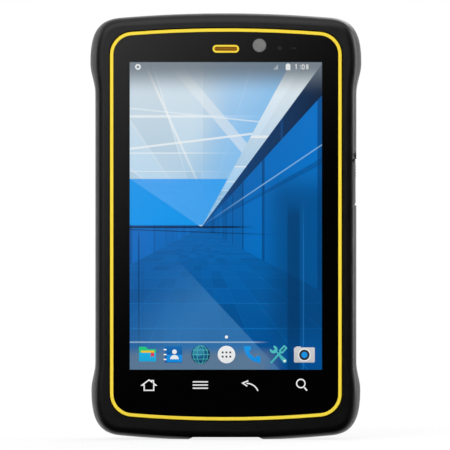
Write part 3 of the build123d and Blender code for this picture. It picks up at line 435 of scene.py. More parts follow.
@dataclass(frozen=True)
class HallSide:
    """One side of the drawn hall between two directions: panels that shrink with distance."""

    from_deg: float
    to_deg: float
    depth_axis: str
    depth_mm: float
    ray_deg: float
    near_colour: str
    far_colour: str
    contrast: float
    line_colour: str
    line_share: float
    line_weight: float = 0.7
    ray_line_share: float = 0.04
    ray_line_weight: float = 0.4
    far_near_mm: Point = (6.0, 70.0)
    soft_deg: float = 0.3

    def panels(self, on: Drawing) -> Socket:
        """Draw the panels and the lines between them.

        Args:
            on: What they are drawn on.

        Returns:
            The side's colour, everywhere.
        """
        tree = on.tree
        inputs = {0: on.offset.node.outputs[self.depth_axis]}
        reach = add_node(tree, "ShaderNodeMath", inputs, operation="ABSOLUTE")
        depth = add_node(tree, "ShaderNodeMath", {0: self.depth_mm, 1: reach}, operation="DIVIDE")
        ray = add_node(tree, "ShaderNodeMath", {0: on.turn, 1: self.ray_deg}, operation="DIVIDE")
        row, column = (
            add_node(tree, "ShaderNodeMath", {0: value}, operation="FLOOR") for value in (depth, ray)
        )
        panel = add_node(tree, "ShaderNodeCombineXYZ", {0: row, 1: column, 2: self.depth_mm})
        chance = add_node(tree, "ShaderNodeTexWhiteNoise", {"Vector": panel})
        inputs = {"Value": chance, "To Min": 1 - self.contrast, "To Max": 1 + self.contrast / 2}
        bright = add_node(tree, "ShaderNodeMapRange", inputs)
        far, near = self.far_near_mm
        inputs = {"Value": reach, "From Min": far, "From Max": near}
        nearness = add_node(tree, "ShaderNodeMapRange", inputs)
        inputs = {SHARE: nearness, FIRST: linear(self.far_colour), SECOND: linear(self.near_colour)}
        tone = add_node(tree, "ShaderNodeMix", inputs, out=MIXED, data_type="RGBA")
        colour = add_node(tree, "ShaderNodeVectorMath", {0: tone, 3: bright}, operation="SCALE")
        lines = (
            (depth, self.line_share, self.line_weight), (ray, self.ray_line_share, self.ray_line_weight),
        )
        for value, share, weight in lines:
            part = add_node(tree, "ShaderNodeMath", {0: value}, operation="FRACT")
            line = add_node(tree, "ShaderNodeMath", {0: part, 1: share}, operation="LESS_THAN")
            faint = add_node(tree, "ShaderNodeMath", {0: line, 1: weight}, operation="MULTIPLY")
            inputs = {SHARE: faint, FIRST: colour, SECOND: linear(self.line_colour)}
            colour = add_node(tree, "ShaderNodeMix", inputs, out=MIXED, data_type="RGBA")
        return colour

    def draw(self, on: Drawing) -> tuple[Socket, SocketValue]:
        """Give where this side covers the picture, and its colour."""
        return on.band(on.turn, self.from_deg, self.to_deg, self.soft_deg), self.panels(on)


@dataclass(frozen=True)
class Beam:
    """A pane of light or shade in the drawn hall, measured from the middle of the screen's foot."""

    angle_deg: float
    start_mm: float
    width_mm: float
    colour: str
    strength: float
    soft_mm: float
    fade_from_mm: float
    fade_to_mm: float

    def draw(self, on: Drawing) -> tuple[Socket, SocketValue]:
        """Give how far this pane covers the picture, and its colour.

        Args:
            on: What it is drawn on.

        Returns:
            The pane's share and its colour.
        """
        end = self.start_mm + self.width_mm
        pane = on.band(on.along(self.angle_deg), self.start_mm, end, self.soft_mm)
        inputs = {
            "Value": on.along(self.angle_deg + 90),
            "From Min": self.fade_from_mm,
            "From Max": self.fade_to_mm,
            "To Max": self.strength,
        }
        fade = add_node(on.tree, "ShaderNodeMapRange", inputs, interpolation_type="SMOOTHSTEP")
        share = add_node(on.tree, "ShaderNodeMath", {0: pane, 1: fade}, operation="MULTIPLY")
        return share, linear(self.colour)


@dataclass(frozen=True)
class Picture:
    """The lit picture of the display: an empty hall of panels with panes of light across it."""

    name: str
    half_width_mm: float
    height_mm: Point
    vanishing: Point
    strength: float
    layers: tuple[Union[HallSide, Beam], ...]
    edge_mm: float = 0.001
    unlit_colour: str = "#040506"
    shine: float = 0.1
    gloss_mm: float = 8.0
    roughness: Point = (0.35, 0.45)

    def drawing(self, tree: Tree) -> Drawing:
        """Set out the coordinates of the drawn hall.

        Args:
            tree: The material's tree.

        Returns:
            What the layers are drawn on.
        """
        place = add_node(tree, "ShaderNodeTexCoord", out="Object")
        parts = add_node(tree, "ShaderNodeSeparateXYZ", {0: place})
        inputs = {
            "Vector": place,
            "Scale": (1 / MM, 1 / MM, 1 / MM),
            "Location": (-self.vanishing[0], 0.0, -self.vanishing[1]),
        }
        mapped = add_node(tree, "ShaderNodeMapping", inputs)
        offset = add_node(tree, "ShaderNodeSeparateXYZ", {0: mapped})
        inputs = {0: offset.node.outputs["X"], 1: offset.node.outputs["Z"]}
        radians = add_node(tree, "ShaderNodeMath", inputs, operation="ARCTAN2")
        turn = add_node(tree, "ShaderNodeMath", {0: radians}, operation="DEGREES")
        return Drawing(tree, parts, offset, turn, self.height_mm[0])

    def within(self, on: Drawing, colour: Socket) -> Socket:
        """Keep the picture inside the lit area and leave the panel's border dark.

        Args:
            on: What the picture is drawn on.
            colour: The picture.

        Returns:
            The picture with a dark border.
        """
        limits = (("X", -self.half_width_mm, self.half_width_mm), ("Z", *self.height_mm))
        for axis, low, high in limits:
            inside = on.band(on.parts.node.outputs[axis], low * MM, high * MM, self.edge_mm * MM)
            colour = add_node(on.tree, "ShaderNodeVectorMath", {0: colour, 3: inside}, operation="SCALE")
        return colour

    def material(self) -> Material:
        """Build the node material, with each layer laid over those before it.

        Returns:
            The material.
        """
        material, tree = new_material(self.name)
        on = self.drawing(tree)
        colour: SocketValue = linear("#000000")
        for layer in self.layers:
            share, shade = layer.draw(on)
            inputs = {SHARE: share, FIRST: colour, SECOND: shade}
            colour = add_node(tree, "ShaderNodeMix", inputs, out=MIXED, data_type="RGBA")
        return finish_off(material, {
            "Base Color": linear(self.unlit_colour),
            "Roughness": wander(tree, self.gloss_mm, *self.roughness),
            "Specular IOR Level": self.shine,
            "Emission Color": self.within(on, colour),
            "Emission Strength": self.strength,
        })


# A hall of glass, from the back forwards: floor, left wall, ceiling, panes of sky, right wall, the
# dark and the bright edge beside it, shade, beams, the floor's pale slab, the dock strip and the
# dimmed status row. A side has its directions, depth axis, depth, width of a ray, near and far colour,
# contrast, line colour and line share. A beam has its angle, start, width, colour, strength, soft edge
# and the stretch in which it fades in.
SCREEN_LAYERS = (
    HallSide(-200.0, 200.0, "Z", 150.0, 13.0, "#004F94", "#0068B8", 0.14, "#0A74C4", 0.04),
    HallSide(-118.0, -56.0, "X", 70.0, 40.0, "#0068BE", "#0072CC", 0.16, "#004F96", 0.06),
    HallSide(-56.0, 36.3, "Z", 110.0, 17.0, "#DCEBF6", "#B4D8F2", 0.08, "#F6FBFE", 0.05),
    Beam(143.6, 30.0, 24.0, "#8CC4F0", 0.75, 30.0, -50.0, -75.0),
    Beam(0.0, -18.0, 60.0, "#78C4FF", 0.5, 24.0, 84.0, 100.0),
    Beam(97.0, 112.5, 1.0, "#F8FCFE", 0.8, 0.4, -60.0, -20.0),
    Beam(84.0, 122.0, 0.7, "#F4FAFE", 0.6, 0.4, -70.0, 10.0),
    Beam(40.0, 74.0, 5.0, "#F2F8FC", 0.5, 0.6, -30.0, 40.0),
    Beam(24.0, 24.0, 1.1, "#FFFFFF", 0.6, 0.4, 70.0, 120.0),
    Beam(90.0, 70.6, 22.6, "#00A2FC", 0.88, 0.6, -16.0, -4.0),
    HallSide(36.3, 118.0, "X", 62.0, 60.0, "#0076CE", "#0066B6", 0.3, "#003E78", 0.09),
    HallSide(36.3, 42.3, "X", 40.0, 9.0, "#04182E", "#0A4C8C", 0.2, "#0A4C8C", 0.03),
    HallSide(28.4, 36.3, "Z", 90.0, 4.0, "#EDF6FC", "#8CC8F4", 0.12, "#FFFFFF", 0.06),
    Beam(90.0, 6.0, 76.0, "#003E74", 0.6, 18.0, -16.0, -30.0),
    Beam(0.0, -43.2, 0.7, "#003468", 0.7, 0.3, 70.0, 62.0),
    Beam(0.0, -41.0, 0.4, "#00508E", 0.7, 0.3, 66.0, 40.0),
    Beam(0.0, -30.5, 8.0, "#0A66B0", 0.3, 0.4, 66.0, 20.0),
    Beam(0.0, 30.0, 6.0, "#00305C", 0.5, 0.4, 84.0, 74.0),
    Beam(0.0, 37.6, 0.5, "#2A86CC", 0.5, 0.3, 90.0, 60.0),
    Beam(124.0, 64.6, 0.6, "#9CD2F8", 0.6, 0.3, -24.0, -70.0),
    Beam(90.0, 69.2, 0.9, "#021226", 0.9, 0.5, -16.0, -2.0),
    Beam(88.0, 66.6, 0.4, "#021A36", 0.8, 0.3, -30.0, 0.0),
    Beam(223.0, -19.6, 120.0, "#4890CC", 0.5, 0.6, -62.0, -24.0),
    Beam(90.0, 12.9, 0.6, "#B4D2EA", 0.7, 0.5, -22.0, -12.0),
    Beam(90.0, -9.0, 15.0, "#6C8294", 0.72, 6.0, -30.0, -14.0),
    Beam(90.0, 134.0, 30.0, "#66727E", 0.9, 15.0, -200.0, -190.0),
)


class Finish(Enum):
    """Every finish on the object, each named for its material and how it was made."""

    # Thermoplastic rubber, moulded with a spark-eroded grain: dark, with a soft light along its edges
    BUMPER_RUBBER = Moulded("moulded_bumper_rubber", "#040405", "#060607", 0.4, 0.34, 0.5, 0.015)
    # The same rubber polished by fingers: a little glossier than the bumper
    KEY_RUBBER = Moulded("moulded_key_rubber", "#1C1C1E", "#232325", 0.38, 0.5, 0.4, 0.01, 6.0)
    # Acrylic-styrene plastic, yellow right through: satin and bright, with a slight flow mottle
    YELLOW_PLASTIC = Moulded("moulded_yellow_plastic", "#FFDD2C", "#FFE33A", 0.36, 0.5, 0.8, 0.004, 24.0)
    # Glass-filled nylon with a fine leather grain: dark and dry
    HOUSING_PLASTIC = Moulded("grained_housing_plastic", "#18181A", "#1E1E20", 0.5, 0.45, 0.7, 0.03)
    # The lid has a coarser grain than the shell around it
    LID_PLASTIC = Moulded("grained_lid_plastic", "#1B1B1D", "#222224", 0.46, 0.45, 1.1, 0.045)
    # Unpolished black nylon of the front shell, made near black with little shine so that the groove
    # beside the ring shows as a dark line: painted shade
    SHELL_PAINTED_GROOVE_SHADE = Moulded("shell_plastic_painted_groove_shade", "#030304", "#050505", 0.75, 0.1)
    # Smooth black nylon of modules and brackets
    MODULE_PLASTIC = Moulded("moulded_module_plastic", "#141415", "#1A1A1C", 0.5)
    # Liquid-crystal polymer of the dock block: hard, dense and slightly glossy
    DOCK_PLASTIC = Moulded("moulded_dock_plastic", "#18181A", "#1E1E20", 0.38, 0.5, 0.3, 0.006)
    # Silicone seals: matt and slightly chalky grey
    SILICONE = Moulded("moulded_silicone", "#4A4C4F", "#545659", 0.62, 0.4, 0.5, 0.01)
    # Frosted grey polycarbonate over the front camera
    GREY_WINDOW = Moulded("frosted_grey_polycarbonate", "#6C6C6C", "#787876", 0.42, 0.5, 0.3, 0.004, 5.0)
    # Screen ink on the back of the glass: deep black, no texture to speak of
    BLACK_PRINT = Moulded("screen_printed_black_ink", "#060506", "#080708", 0.5, 0.05, 0.2, 0.001)
    # Infrared ink over the sensors: a dark smoky grey in the black print
    SENSOR_INK = Moulded("smoked_sensor_ink", "#2E3032", "#343638", 0.4, 0.5, 0.2, 0.001)
    # Acrylic foam tape inside: pale and slightly hazy
    ADHESIVE = Moulded("acrylic_tape", "#B9B8AE", "#C6C5BC", 0.5, 0.5, 1.0, 0.004)
    # Polyimide film of flexible circuits: amber and smooth
    FILM = Moulded("polyimide_film", "#A37A35", "#B0863E", 0.35, 0.5, 1.0, 0.002)
    # Shrink wrap around the battery: grey-blue satin
    BATTERY_WRAP = Moulded("battery_shrink_wrap", "#39424C", "#414B56", 0.4, 0.5, 3.0, 0.02)
    # Perforated steel with an amber coating that takes up the yellow rim
    EARPIECE_MESH = Metal("amber_coated_steel_mesh", "#A46C1A", "#C89034", 0.5, 0.4)
    # Pressed tin-plated steel of cans and sockets: bright, with faint rolling lines
    SHEET_STEEL = Metal("pressed_tinned_steel", "#B4B4B2", "#C6C6C4", 0.32, 0.3, (0.1, 1.0, 1.0))
    # Cast magnesium of the mid frame: pale, dull and grainy
    CAST_METAL = Metal("cast_magnesium", "#8C8C88", "#9B9B97", 0.5, 0.6)
    # Turned and anodised aluminium of the camera ring: dark, with fine lathe lines
    ANODISED_RING = Metal("turned_anodised_aluminium", "#4A4C50", "#5C5E62", 0.34, 0.2)
    # Blackened steel screws, bright only where the driver rubs
    BLACK_SCREW = Metal("blackened_steel", "#4B4B4C", "#5C5C5D", 0.4, 0.3)
    # Zinc-plated steel of hidden screws and the hinge pin: pale and slightly blue
    BRIGHT_SCREW = Metal("zinc_plated_steel", "#A9ACB0", "#BCC0C4", 0.32, 0.3)
    # Knurled brass inserts: warm yellow, turned
    BRASS = Metal("turned_brass", "#B08A3E", "#C8A252", 0.3, 0.3)
    # Hard gold over nickel on the dock contacts and plugs
    GOLD = Metal("hard_gold_plate", "#C9A04A", "#DDB760", 0.24, 0.3)
    # Etched copper foil of the antennas: salmon pink, slightly dull
    COPPER = Metal("etched_copper", "#A9683E", "#BC7A4C", 0.4, 0.4)
    # Toughened cover glass: clear and very smooth, a faint grey in depth
    COVER_GLASS = Clear("toughened_cover_glass", "#F4F6F6", "#F8F9F9", 0.0)
    # Coated lens glass over the rear camera
    LENS_GLASS = Clear("coated_lens_glass", "#EEF2F8", "#F3F2F8", 0.0, 1.52, 4.0)
    # Clear polycarbonate of the flash, slightly warm
    FLASH_CLEAR = Clear("clear_polycarbonate", "#F6F1E2", "#F9F5EA", 0.05, 1.58, 3.0)
    # Acoustic cloth over the loudspeakers: threads drawn at 0.5 mm, as coarse as they need to show
    SPEAKER_CLOTH = Woven("acoustic_cloth", "#0B0B0C", "#2A2A2C", 0.75, 0.5)
    # Solder mask over copper: deep green with paler tracks
    BOARD = CircuitBoard("solder_mask_on_glass_fibre", "#1F6A3C", "#0E3B22", 0.36, 2.2)
    # Bare phosphor of the flash lamp: warm yellow and chalky
    PHOSPHOR = Moulded("phosphor_layer", "#E8C84A", "#F0D466", 0.7, 0.3, 0.2, 0.004)
    # Multi-coated front lens: black glass with a violet cast
    LENS_COATING = Moulded("coated_lens_element", "#0B0A16", "#141030", 0.08, 0.9, 4.0, 0.0005, 3.0)
    # The lit liquid-crystal picture
    SCREEN = Picture("lit_display_picture", 47.1, SCREEN_MM, (-12.0, 104.0), 1.0, SCREEN_LAYERS)
    # White ink of the touch keys, made to glow so that it shows clean white: painted light, a little
    # less bright at the foot
    LEGEND_WHITE = Lit("glowing_white_ink_painted_light", "#EFEFEF", "#FBFBFB", strength=0.95, row_mm=LEGEND_ROW_MM)
    # Picture elements of the lit symbols, each colour a little deeper at the foot of the row
    PIXEL_WHITE = Lit("lit_white_pixels", "#F1F2F4", "#FFFFFF")
    PIXEL_GREY = Lit("lit_grey_pixels", "#C9C7CA", "#DEDCDE")
    PIXEL_DARK = Lit("lit_dark_pixels", "#26292D", "#3A3F44")
    PIXEL_CYAN = Lit("lit_cyan_pixels", "#12A6DE", "#24C4F4")
    PIXEL_GREEN = Lit("lit_green_pixels", "#14B46C", "#2AD88A")
    PIXEL_YELLOW = Lit("lit_yellow_pixels", "#F4B81E", "#FFD53A")
    PIXEL_RED = Lit("lit_red_pixels", "#D82E46", "#F0455A")
    PIXEL_AZURE = Lit("lit_azure_pixels", "#0E8CE6", "#1FA4F6")
    PIXEL_BLUE = Lit("lit_blue_pixels", "#0A5AA4", "#1470BE")
    PIXEL_TEAL = Lit("lit_teal_pixels", "#3FB6BA", "#5CCDCB")
    PIXEL_SEA = Lit("lit_sea_pixels", "#164F7C", "#1E6792")
    PIXEL_DEEP = Lit("lit_deep_pixels", "#0B2F52", "#123F66")
    PIXEL_OCEAN = Lit("lit_ocean_pixels", "#2F7FA2", "#3B8FAE")
    BAR_WHITE = Lit("lit_status_pixels", "#F0F0F0", "#FFFFFF", strength=0.95, row_mm=STATUS_ROW_MM)
    BAR_GREY = Lit("lit_dim_status_pixels", "#A9B2BA", "#B9C2CA", strength=0.95, row_mm=STATUS_ROW_MM)

    def material(self) -> Material:
        """Give this finish's material, built at its first use."""
        return bpy.data.materials.get(self.value.name) or self.value.material()


# Which finish each carried-over CAD node wears
NODE_FINISHES: dict[Finish, tuple[str, ...]] = {
    Finish.BUMPER_RUBBER: ("bumper", "port_door"),
    Finish.KEY_RUBBER: ("power_key", "volume_up_key", "volume_down_key", "function_key"),
    Finish.YELLOW_PLASTIC: ("trim_ring", "earpiece_rim"),
    Finish.HOUSING_PLASTIC: ("rear_cover",),
    # The front shell's near-black finish paints the shade in the groove beside the ring
    Finish.SHELL_PAINTED_GROOVE_SHADE: ("front_housing",),
    Finish.LID_PLASTIC: ("battery_cover",),
    Finish.MODULE_PLASTIC: (
        "earpiece_receiver", "front_camera_module", "rear_camera_module", "battery_contacts",
        "motor_bracket",
    ),
    Finish.DOCK_PLASTIC: ("dock_connector",),
    Finish.SILICONE: ("housing_gasket", "battery_seal", "door_seal"),
    Finish.GREY_WINDOW: ("front_camera_window",),
    Finish.BLACK_PRINT: ("glass_print",),
    Finish.SENSOR_INK: ("sensor_spots",),
    Finish.ADHESIVE: ("glass_tape",),
    Finish.FILM: ("touch_key_film", "display_flex"),
    Finish.BATTERY_WRAP: ("battery_pack",),
    Finish.EARPIECE_MESH: ("earpiece_mesh",),
    Finish.SHEET_STEEL: (
        "display_backlight", "shield_cans", "card_socket", "usb_socket", "hdmi_socket",
        "vibration_motor", "vibration_weight",
    ),
    Finish.CAST_METAL: ("mid_frame",),
    Finish.ANODISED_RING: ("rear_camera_ring",),
    Finish.BLACK_SCREW: ("housing_screws", "battery_cover_screws"),
    Finish.BRIGHT_SCREW: ("board_screws", "door_pin"),
    Finish.BRASS: ("strap_inserts",),
    Finish.GOLD: ("dock_contacts",),
    Finish.COPPER: ("antennas",),
    Finish.COVER_GLASS: ("cover_glass",),
    Finish.LENS_GLASS: ("rear_camera_glass",),
    Finish.FLASH_CLEAR: ("flash_lens",),
    Finish.SPEAKER_CLOTH: ("loudspeakers",),
    Finish.BOARD: ("main_board", "sensor_board", "left_key_board", "right_key_board"),
    Finish.SCREEN: ("display_panel",),
}


class Facing(Enum):
    """The side that a flat piece looks to, as the axes for across, up and outwards."""

    FRONT = ((1, 0, 0), (0, 0, 1), (0, -1, 0))
    BACK = ((-1, 0, 0), (0, 0, 1), (0, 1, 0))
    RIGHT = ((0, 1, 0), (0, 0, 1), (1, 0, 0))
    LEFT = ((0, -1, 0), (0, 0, 1), (-1, 0, 0))

    def place(self, across_mm: float, up_mm: float, out_mm: float) -> Vector:
        """Turn a place on this side into metres in the row frame."""
        across, up, out = (Vector(axis) for axis in self.value)
        return (across * across_mm + up * up_mm + out * out_mm) * MM


def arc(centre: Point, radius: float, start_deg: float, end_deg: float, steps: int = 16) -> Outline:
    """Points on an arc, both ends included.

    Args:
        centre: Middle of the arc.
        radius: Its radius.
        start_deg: Angle of the first point.
        end_deg: Angle of the last point.
        steps: Number of parts.

    Returns:
        The points in order.
    """
    across, up = centre
    turn_deg = end_deg - start_deg
    angles = [math.radians(start_deg + turn_deg * step / steps) for step in range(steps + 1)]
    return [(across + radius * math.cos(angle), up + radius * math.sin(angle)) for angle in angles]


def circle(centre: Point, radius: float, steps: int = 32) -> Outline:
    """A round outline."""
    return arc(centre, radius, 0, 360, steps)[:-1]


def oval(half_width: float, half_height: float, steps: int = 32) -> Outline:
    """An oval outline about the origin."""
    return [(half_width * across, half_height * up) for across, up in circle((0, 0), 1.0, steps)]


def rounded(centre: Point, width: float, height: float, corner: float) -> Outline:
    """A rectangle with round corners.

    Args:
        centre: Its middle.
        width: Whole width.
        height: Whole height.
        corner: Corner radius.

    Returns:
        The outline, counter-clockwise.
    """
    outline: Outline = []
    for quarter, (side, end) in enumerate(((1, 1), (-1, 1), (-1, -1), (1, -1))):
        middle = (centre[0] + side * (width / 2 - corner), centre[1] + end * (height / 2 - corner))
        outline += arc(middle, corner, 90 * quarter, 90 * quarter + 90, CORNER_STEPS)
    return outline


def moved(outline: Outline, centre: Point, turn_deg: float = 0.0) -> Outline:
    """Turn an outline about the origin, then move it.

    Args:
        outline: The points.
        centre: Where the origin goes.
        turn_deg: Turn, counter-clockwise.

    Returns:
        The new points.
    """
    turn = Matrix.Rotation(math.radians(turn_deg), 2)
    return [tuple(turn @ Vector(point) + Vector(centre)) for point in outline]


def side_line(path: Outline, half: float, closed: bool) -> Outline:
    """A line at one side of a path, with sharp mitred corners.

    Args:
        path: The path's points.
        half: Distance to the left of the path, or to the right if negative.
        closed: Whether the path returns to its start.

    Returns:
        One point for each point of the path.
    """
    count = len(path)
    line: Outline = []
    for index, point in enumerate(path):
        here = Vector(point)
        steps = []
        if closed or index:
            steps.append(here - Vector(path[index - 1]))
        if closed or index < count - 1:
            steps.append(Vector(path[(index + 1) % count]) - here)
        normals = [Vector((-step.y, step.x)).normalized() for step in steps]
        middle = sum(normals, Vector((0, 0))).normalized()
        line.append(tuple(here + middle * (half / middle.dot(normals[0]))))
    return line


@dataclass
class FlatPiece:
    """Thin closed slabs with flat outlines, gathered into one piece."""

    name: str
    facing: Facing
    base_mm: float
    step_mm: float
    thickness_mm: float
    body: str = ROOT_BODY
    slot: Optional[str] = None
    mesh: bmesh.types.BMesh = field(default_factory=bmesh.new)
    finishes: dict[Finish, int] = field(default_factory=dict)

    def ring(self, outline: Outline, out_mm: float) -> list[Vert]:
        """Add an outline's corners at one height above the surface."""
        return [self.mesh.verts.new(self.facing.place(across, up, out_mm)) for across, up in outline]

    def fill(self, outline: Outline, finish: Finish, level: int = 0) -> None:
        """Add a slab inside an outline.

        Args:
            outline: Its corners in millimetres.
            finish: Its finish.
            level: Layer above the base, for slabs that lie on others.
        """
        low = self.base_mm + level * self.step_mm
        rings = [self.ring(outline, low), self.ring(outline, low + self.thickness_mm)]
        faces = [self.mesh.faces.new(ring) for ring in rings]
        self.paint(faces + self.walls(*rings), finish)

    def walls(self, first: list[Vert], second: list[Vert]) -> list[Face]:
        """Join two loops of the same length with a strip of faces."""
        count = len(first)
        return [
            self.mesh.faces.new((first[i], first[(i + 1) % count], second[(i + 1) % count], second[i]))
            for i in range(count)
        ]

    def frame(self, outer: Outline, inner: Outline, finish: Finish, level: int = 0) -> None:
        """Add a slab between two outlines with as many points each.

        Args:
            outer: Outer corners.
            inner: Inner corners.
            finish: Its finish.
            level: Layer above the base.
        """
        low = self.base_mm + level * self.step_mm
        high = low + self.thickness_mm
        edges = ((outer, low), (outer, high), (inner, high), (inner, low))
        loops = [self.ring(outline, out_mm) for outline, out_mm in edges]
        for first, second in zip(loops, loops[1:] + loops[:1]):
            self.paint(self.walls(first, second), finish)

    def stroke(
        self, path: Outline, width: float, finish: Finish, closed: bool = False, level: int = 0
    ) -> None:
        """Add a line of even width along a path.

        Args:
            path: The middle of the line.
            width: Its width.
            finish: Its finish.
            closed: Whether the path returns to its start.
            level: Layer above the base.
        """
        left = side_line(path, width / 2, closed)
        right = side_line(path, -width / 2, closed)
        if closed:
            self.frame(left, right, finish, level)
        else:
            self.fill(left + right[::-1], finish, level)

    def paint(self, faces: list[Face], finish: Finish) -> None:
        """Give new faces their finish, which gets its index at its first use."""
        for face in faces:
            face.material_index = self.finishes.setdefault(finish, len(self.finishes))

    def build(self) -> Piece:
        """Turn the slabs into a piece that rides on its body.

        Returns:
            The piece.
        """
        bmesh.ops.recalc_face_normals(self.mesh, faces=self.mesh.faces)
        bmesh.ops.triangulate(self.mesh, faces=self.mesh.faces)
        data = bpy.data.meshes.new(self.name)
        self.mesh.to_mesh(data)
        self.mesh.free()
        for finish in self.finishes:
            data.materials.append(finish.material())
        return settle(bpy.data.objects.new(self.name, data), self.body)


def settle(piece: Piece, body: str) -> Piece:
    """Put a finished piece in the scene, on its body.

    Args:
        piece: The piece, with its place in its mesh.
        body: The CAD body that carries it.

    Returns:
        The piece.
    """
    if piece.name not in bpy.context.scene.collection.objects:
        bpy.context.scene.collection.objects.link(piece)
    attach(piece, body)
    LOG.info("%s rides on %s with %d faces", piece.name, body, len(piece.data.polygons))
    return piece


def grow(
    name: str,
    sizes: dict[str, SizeValue],
    recipe: Callable[[Tree, dict[str, Socket]], Socket],
    finish: Finish,
    body: str = ROOT_BODY,
) -> Piece:
    """Make a piece with a Geometry Nodes tree and turn it into a plain mesh.

    Args:
        name: The piece's name.
        sizes: Named inputs of the tree, lengths in metres.
        recipe: Builds the tree from its inputs and gives the geometry.
        finish: The piece's finish.
        body: The CAD body that carries it.

    Returns:
        The piece.
    """
    tree = bpy.data.node_groups.new(name, "GeometryNodeTree")
    kinds = {int: "NodeSocketInt", float: "NodeSocketFloat", Vector: "NodeSocketVector"}
    sockets = {
        label: tree.interface.new_socket(label, in_out="INPUT", socket_type=kinds[type(value)])
        for label, value in sizes.items()
    }
    paint = tree.interface.new_socket("Finish", in_out="INPUT", socket_type="NodeSocketMaterial")
    tree.interface.new_socket("Geometry", in_out="OUTPUT", socket_type="NodeSocketGeometry")
    given = add_node(tree, "NodeGroupInput").node.outputs
    shape = recipe(tree, {label: given[label] for label in sizes})
    solid = add_node(tree, "GeometryNodeRealizeInstances", {"Geometry": shape})
    dressed = add_node(tree, "GeometryNodeSetMaterial", {"Geometry": solid, "Material": given["Finish"]})
    add_node(tree, "NodeGroupOutput", {"Geometry": dressed})
    piece = bpy.data.objects.new(name, bpy.data.meshes.new(name))
    bpy.context.scene.collection.objects.link(piece)
    modifier = piece.modifiers.new("recipe", "NODES")
    modifier.node_group = tree
    for label, value in sizes.items():
        modifier[sockets[label].identifier] = value
    modifier[paint.identifier] = finish.material()
    ready = piece.evaluated_get(bpy.context.evaluated_depsgraph_get())
    mesh = bpy.data.meshes.new_from_object(ready)
    piece.modifiers.remove(modifier)
    piece.data = mesh
    mesh.name = name
    return settle(piece, body)


@dataclass(frozen=True)
class Mark:
    """One slab of a symbol about the symbol's middle: filled, or a line along its outline."""

    outline: Outline
    finish: Finish
    level: int = 0
    line: Optional[float] = None
    closed: bool = True

    def draw(self, piece: FlatPiece, middle: Point) -> None:
        """Add the slab to a piece.

        Args:
            piece: The set of slabs.
            middle: The symbol's middle.
        """
        outline = moved(self.outline, middle)
        if self.line is None:
            piece.fill(outline, self.finish, self.level)
        else:
            piece.stroke(outline, self.line, self.finish, self.closed, self.level)


def spanner() -> Outline:
    """An upright spanner: a round head with an open jaw, and a handle with a round end.

    Returns:
        The outline, counter-clockwise from the left lip of the jaw.
    """
    head = arc((0, 3.4), 1.9, 130, 410, 18)
    left = [point for point in head if point[0] < 0]
    right = [point for point in head if point[0] >= 0]
    handle = arc((0, -4.3), 1.05, 180, 360, 10)
    return left + handle + right + [(0.75, 4.2), (0.75, 3.2), (-0.75, 3.2), (-0.75, 4.2)]


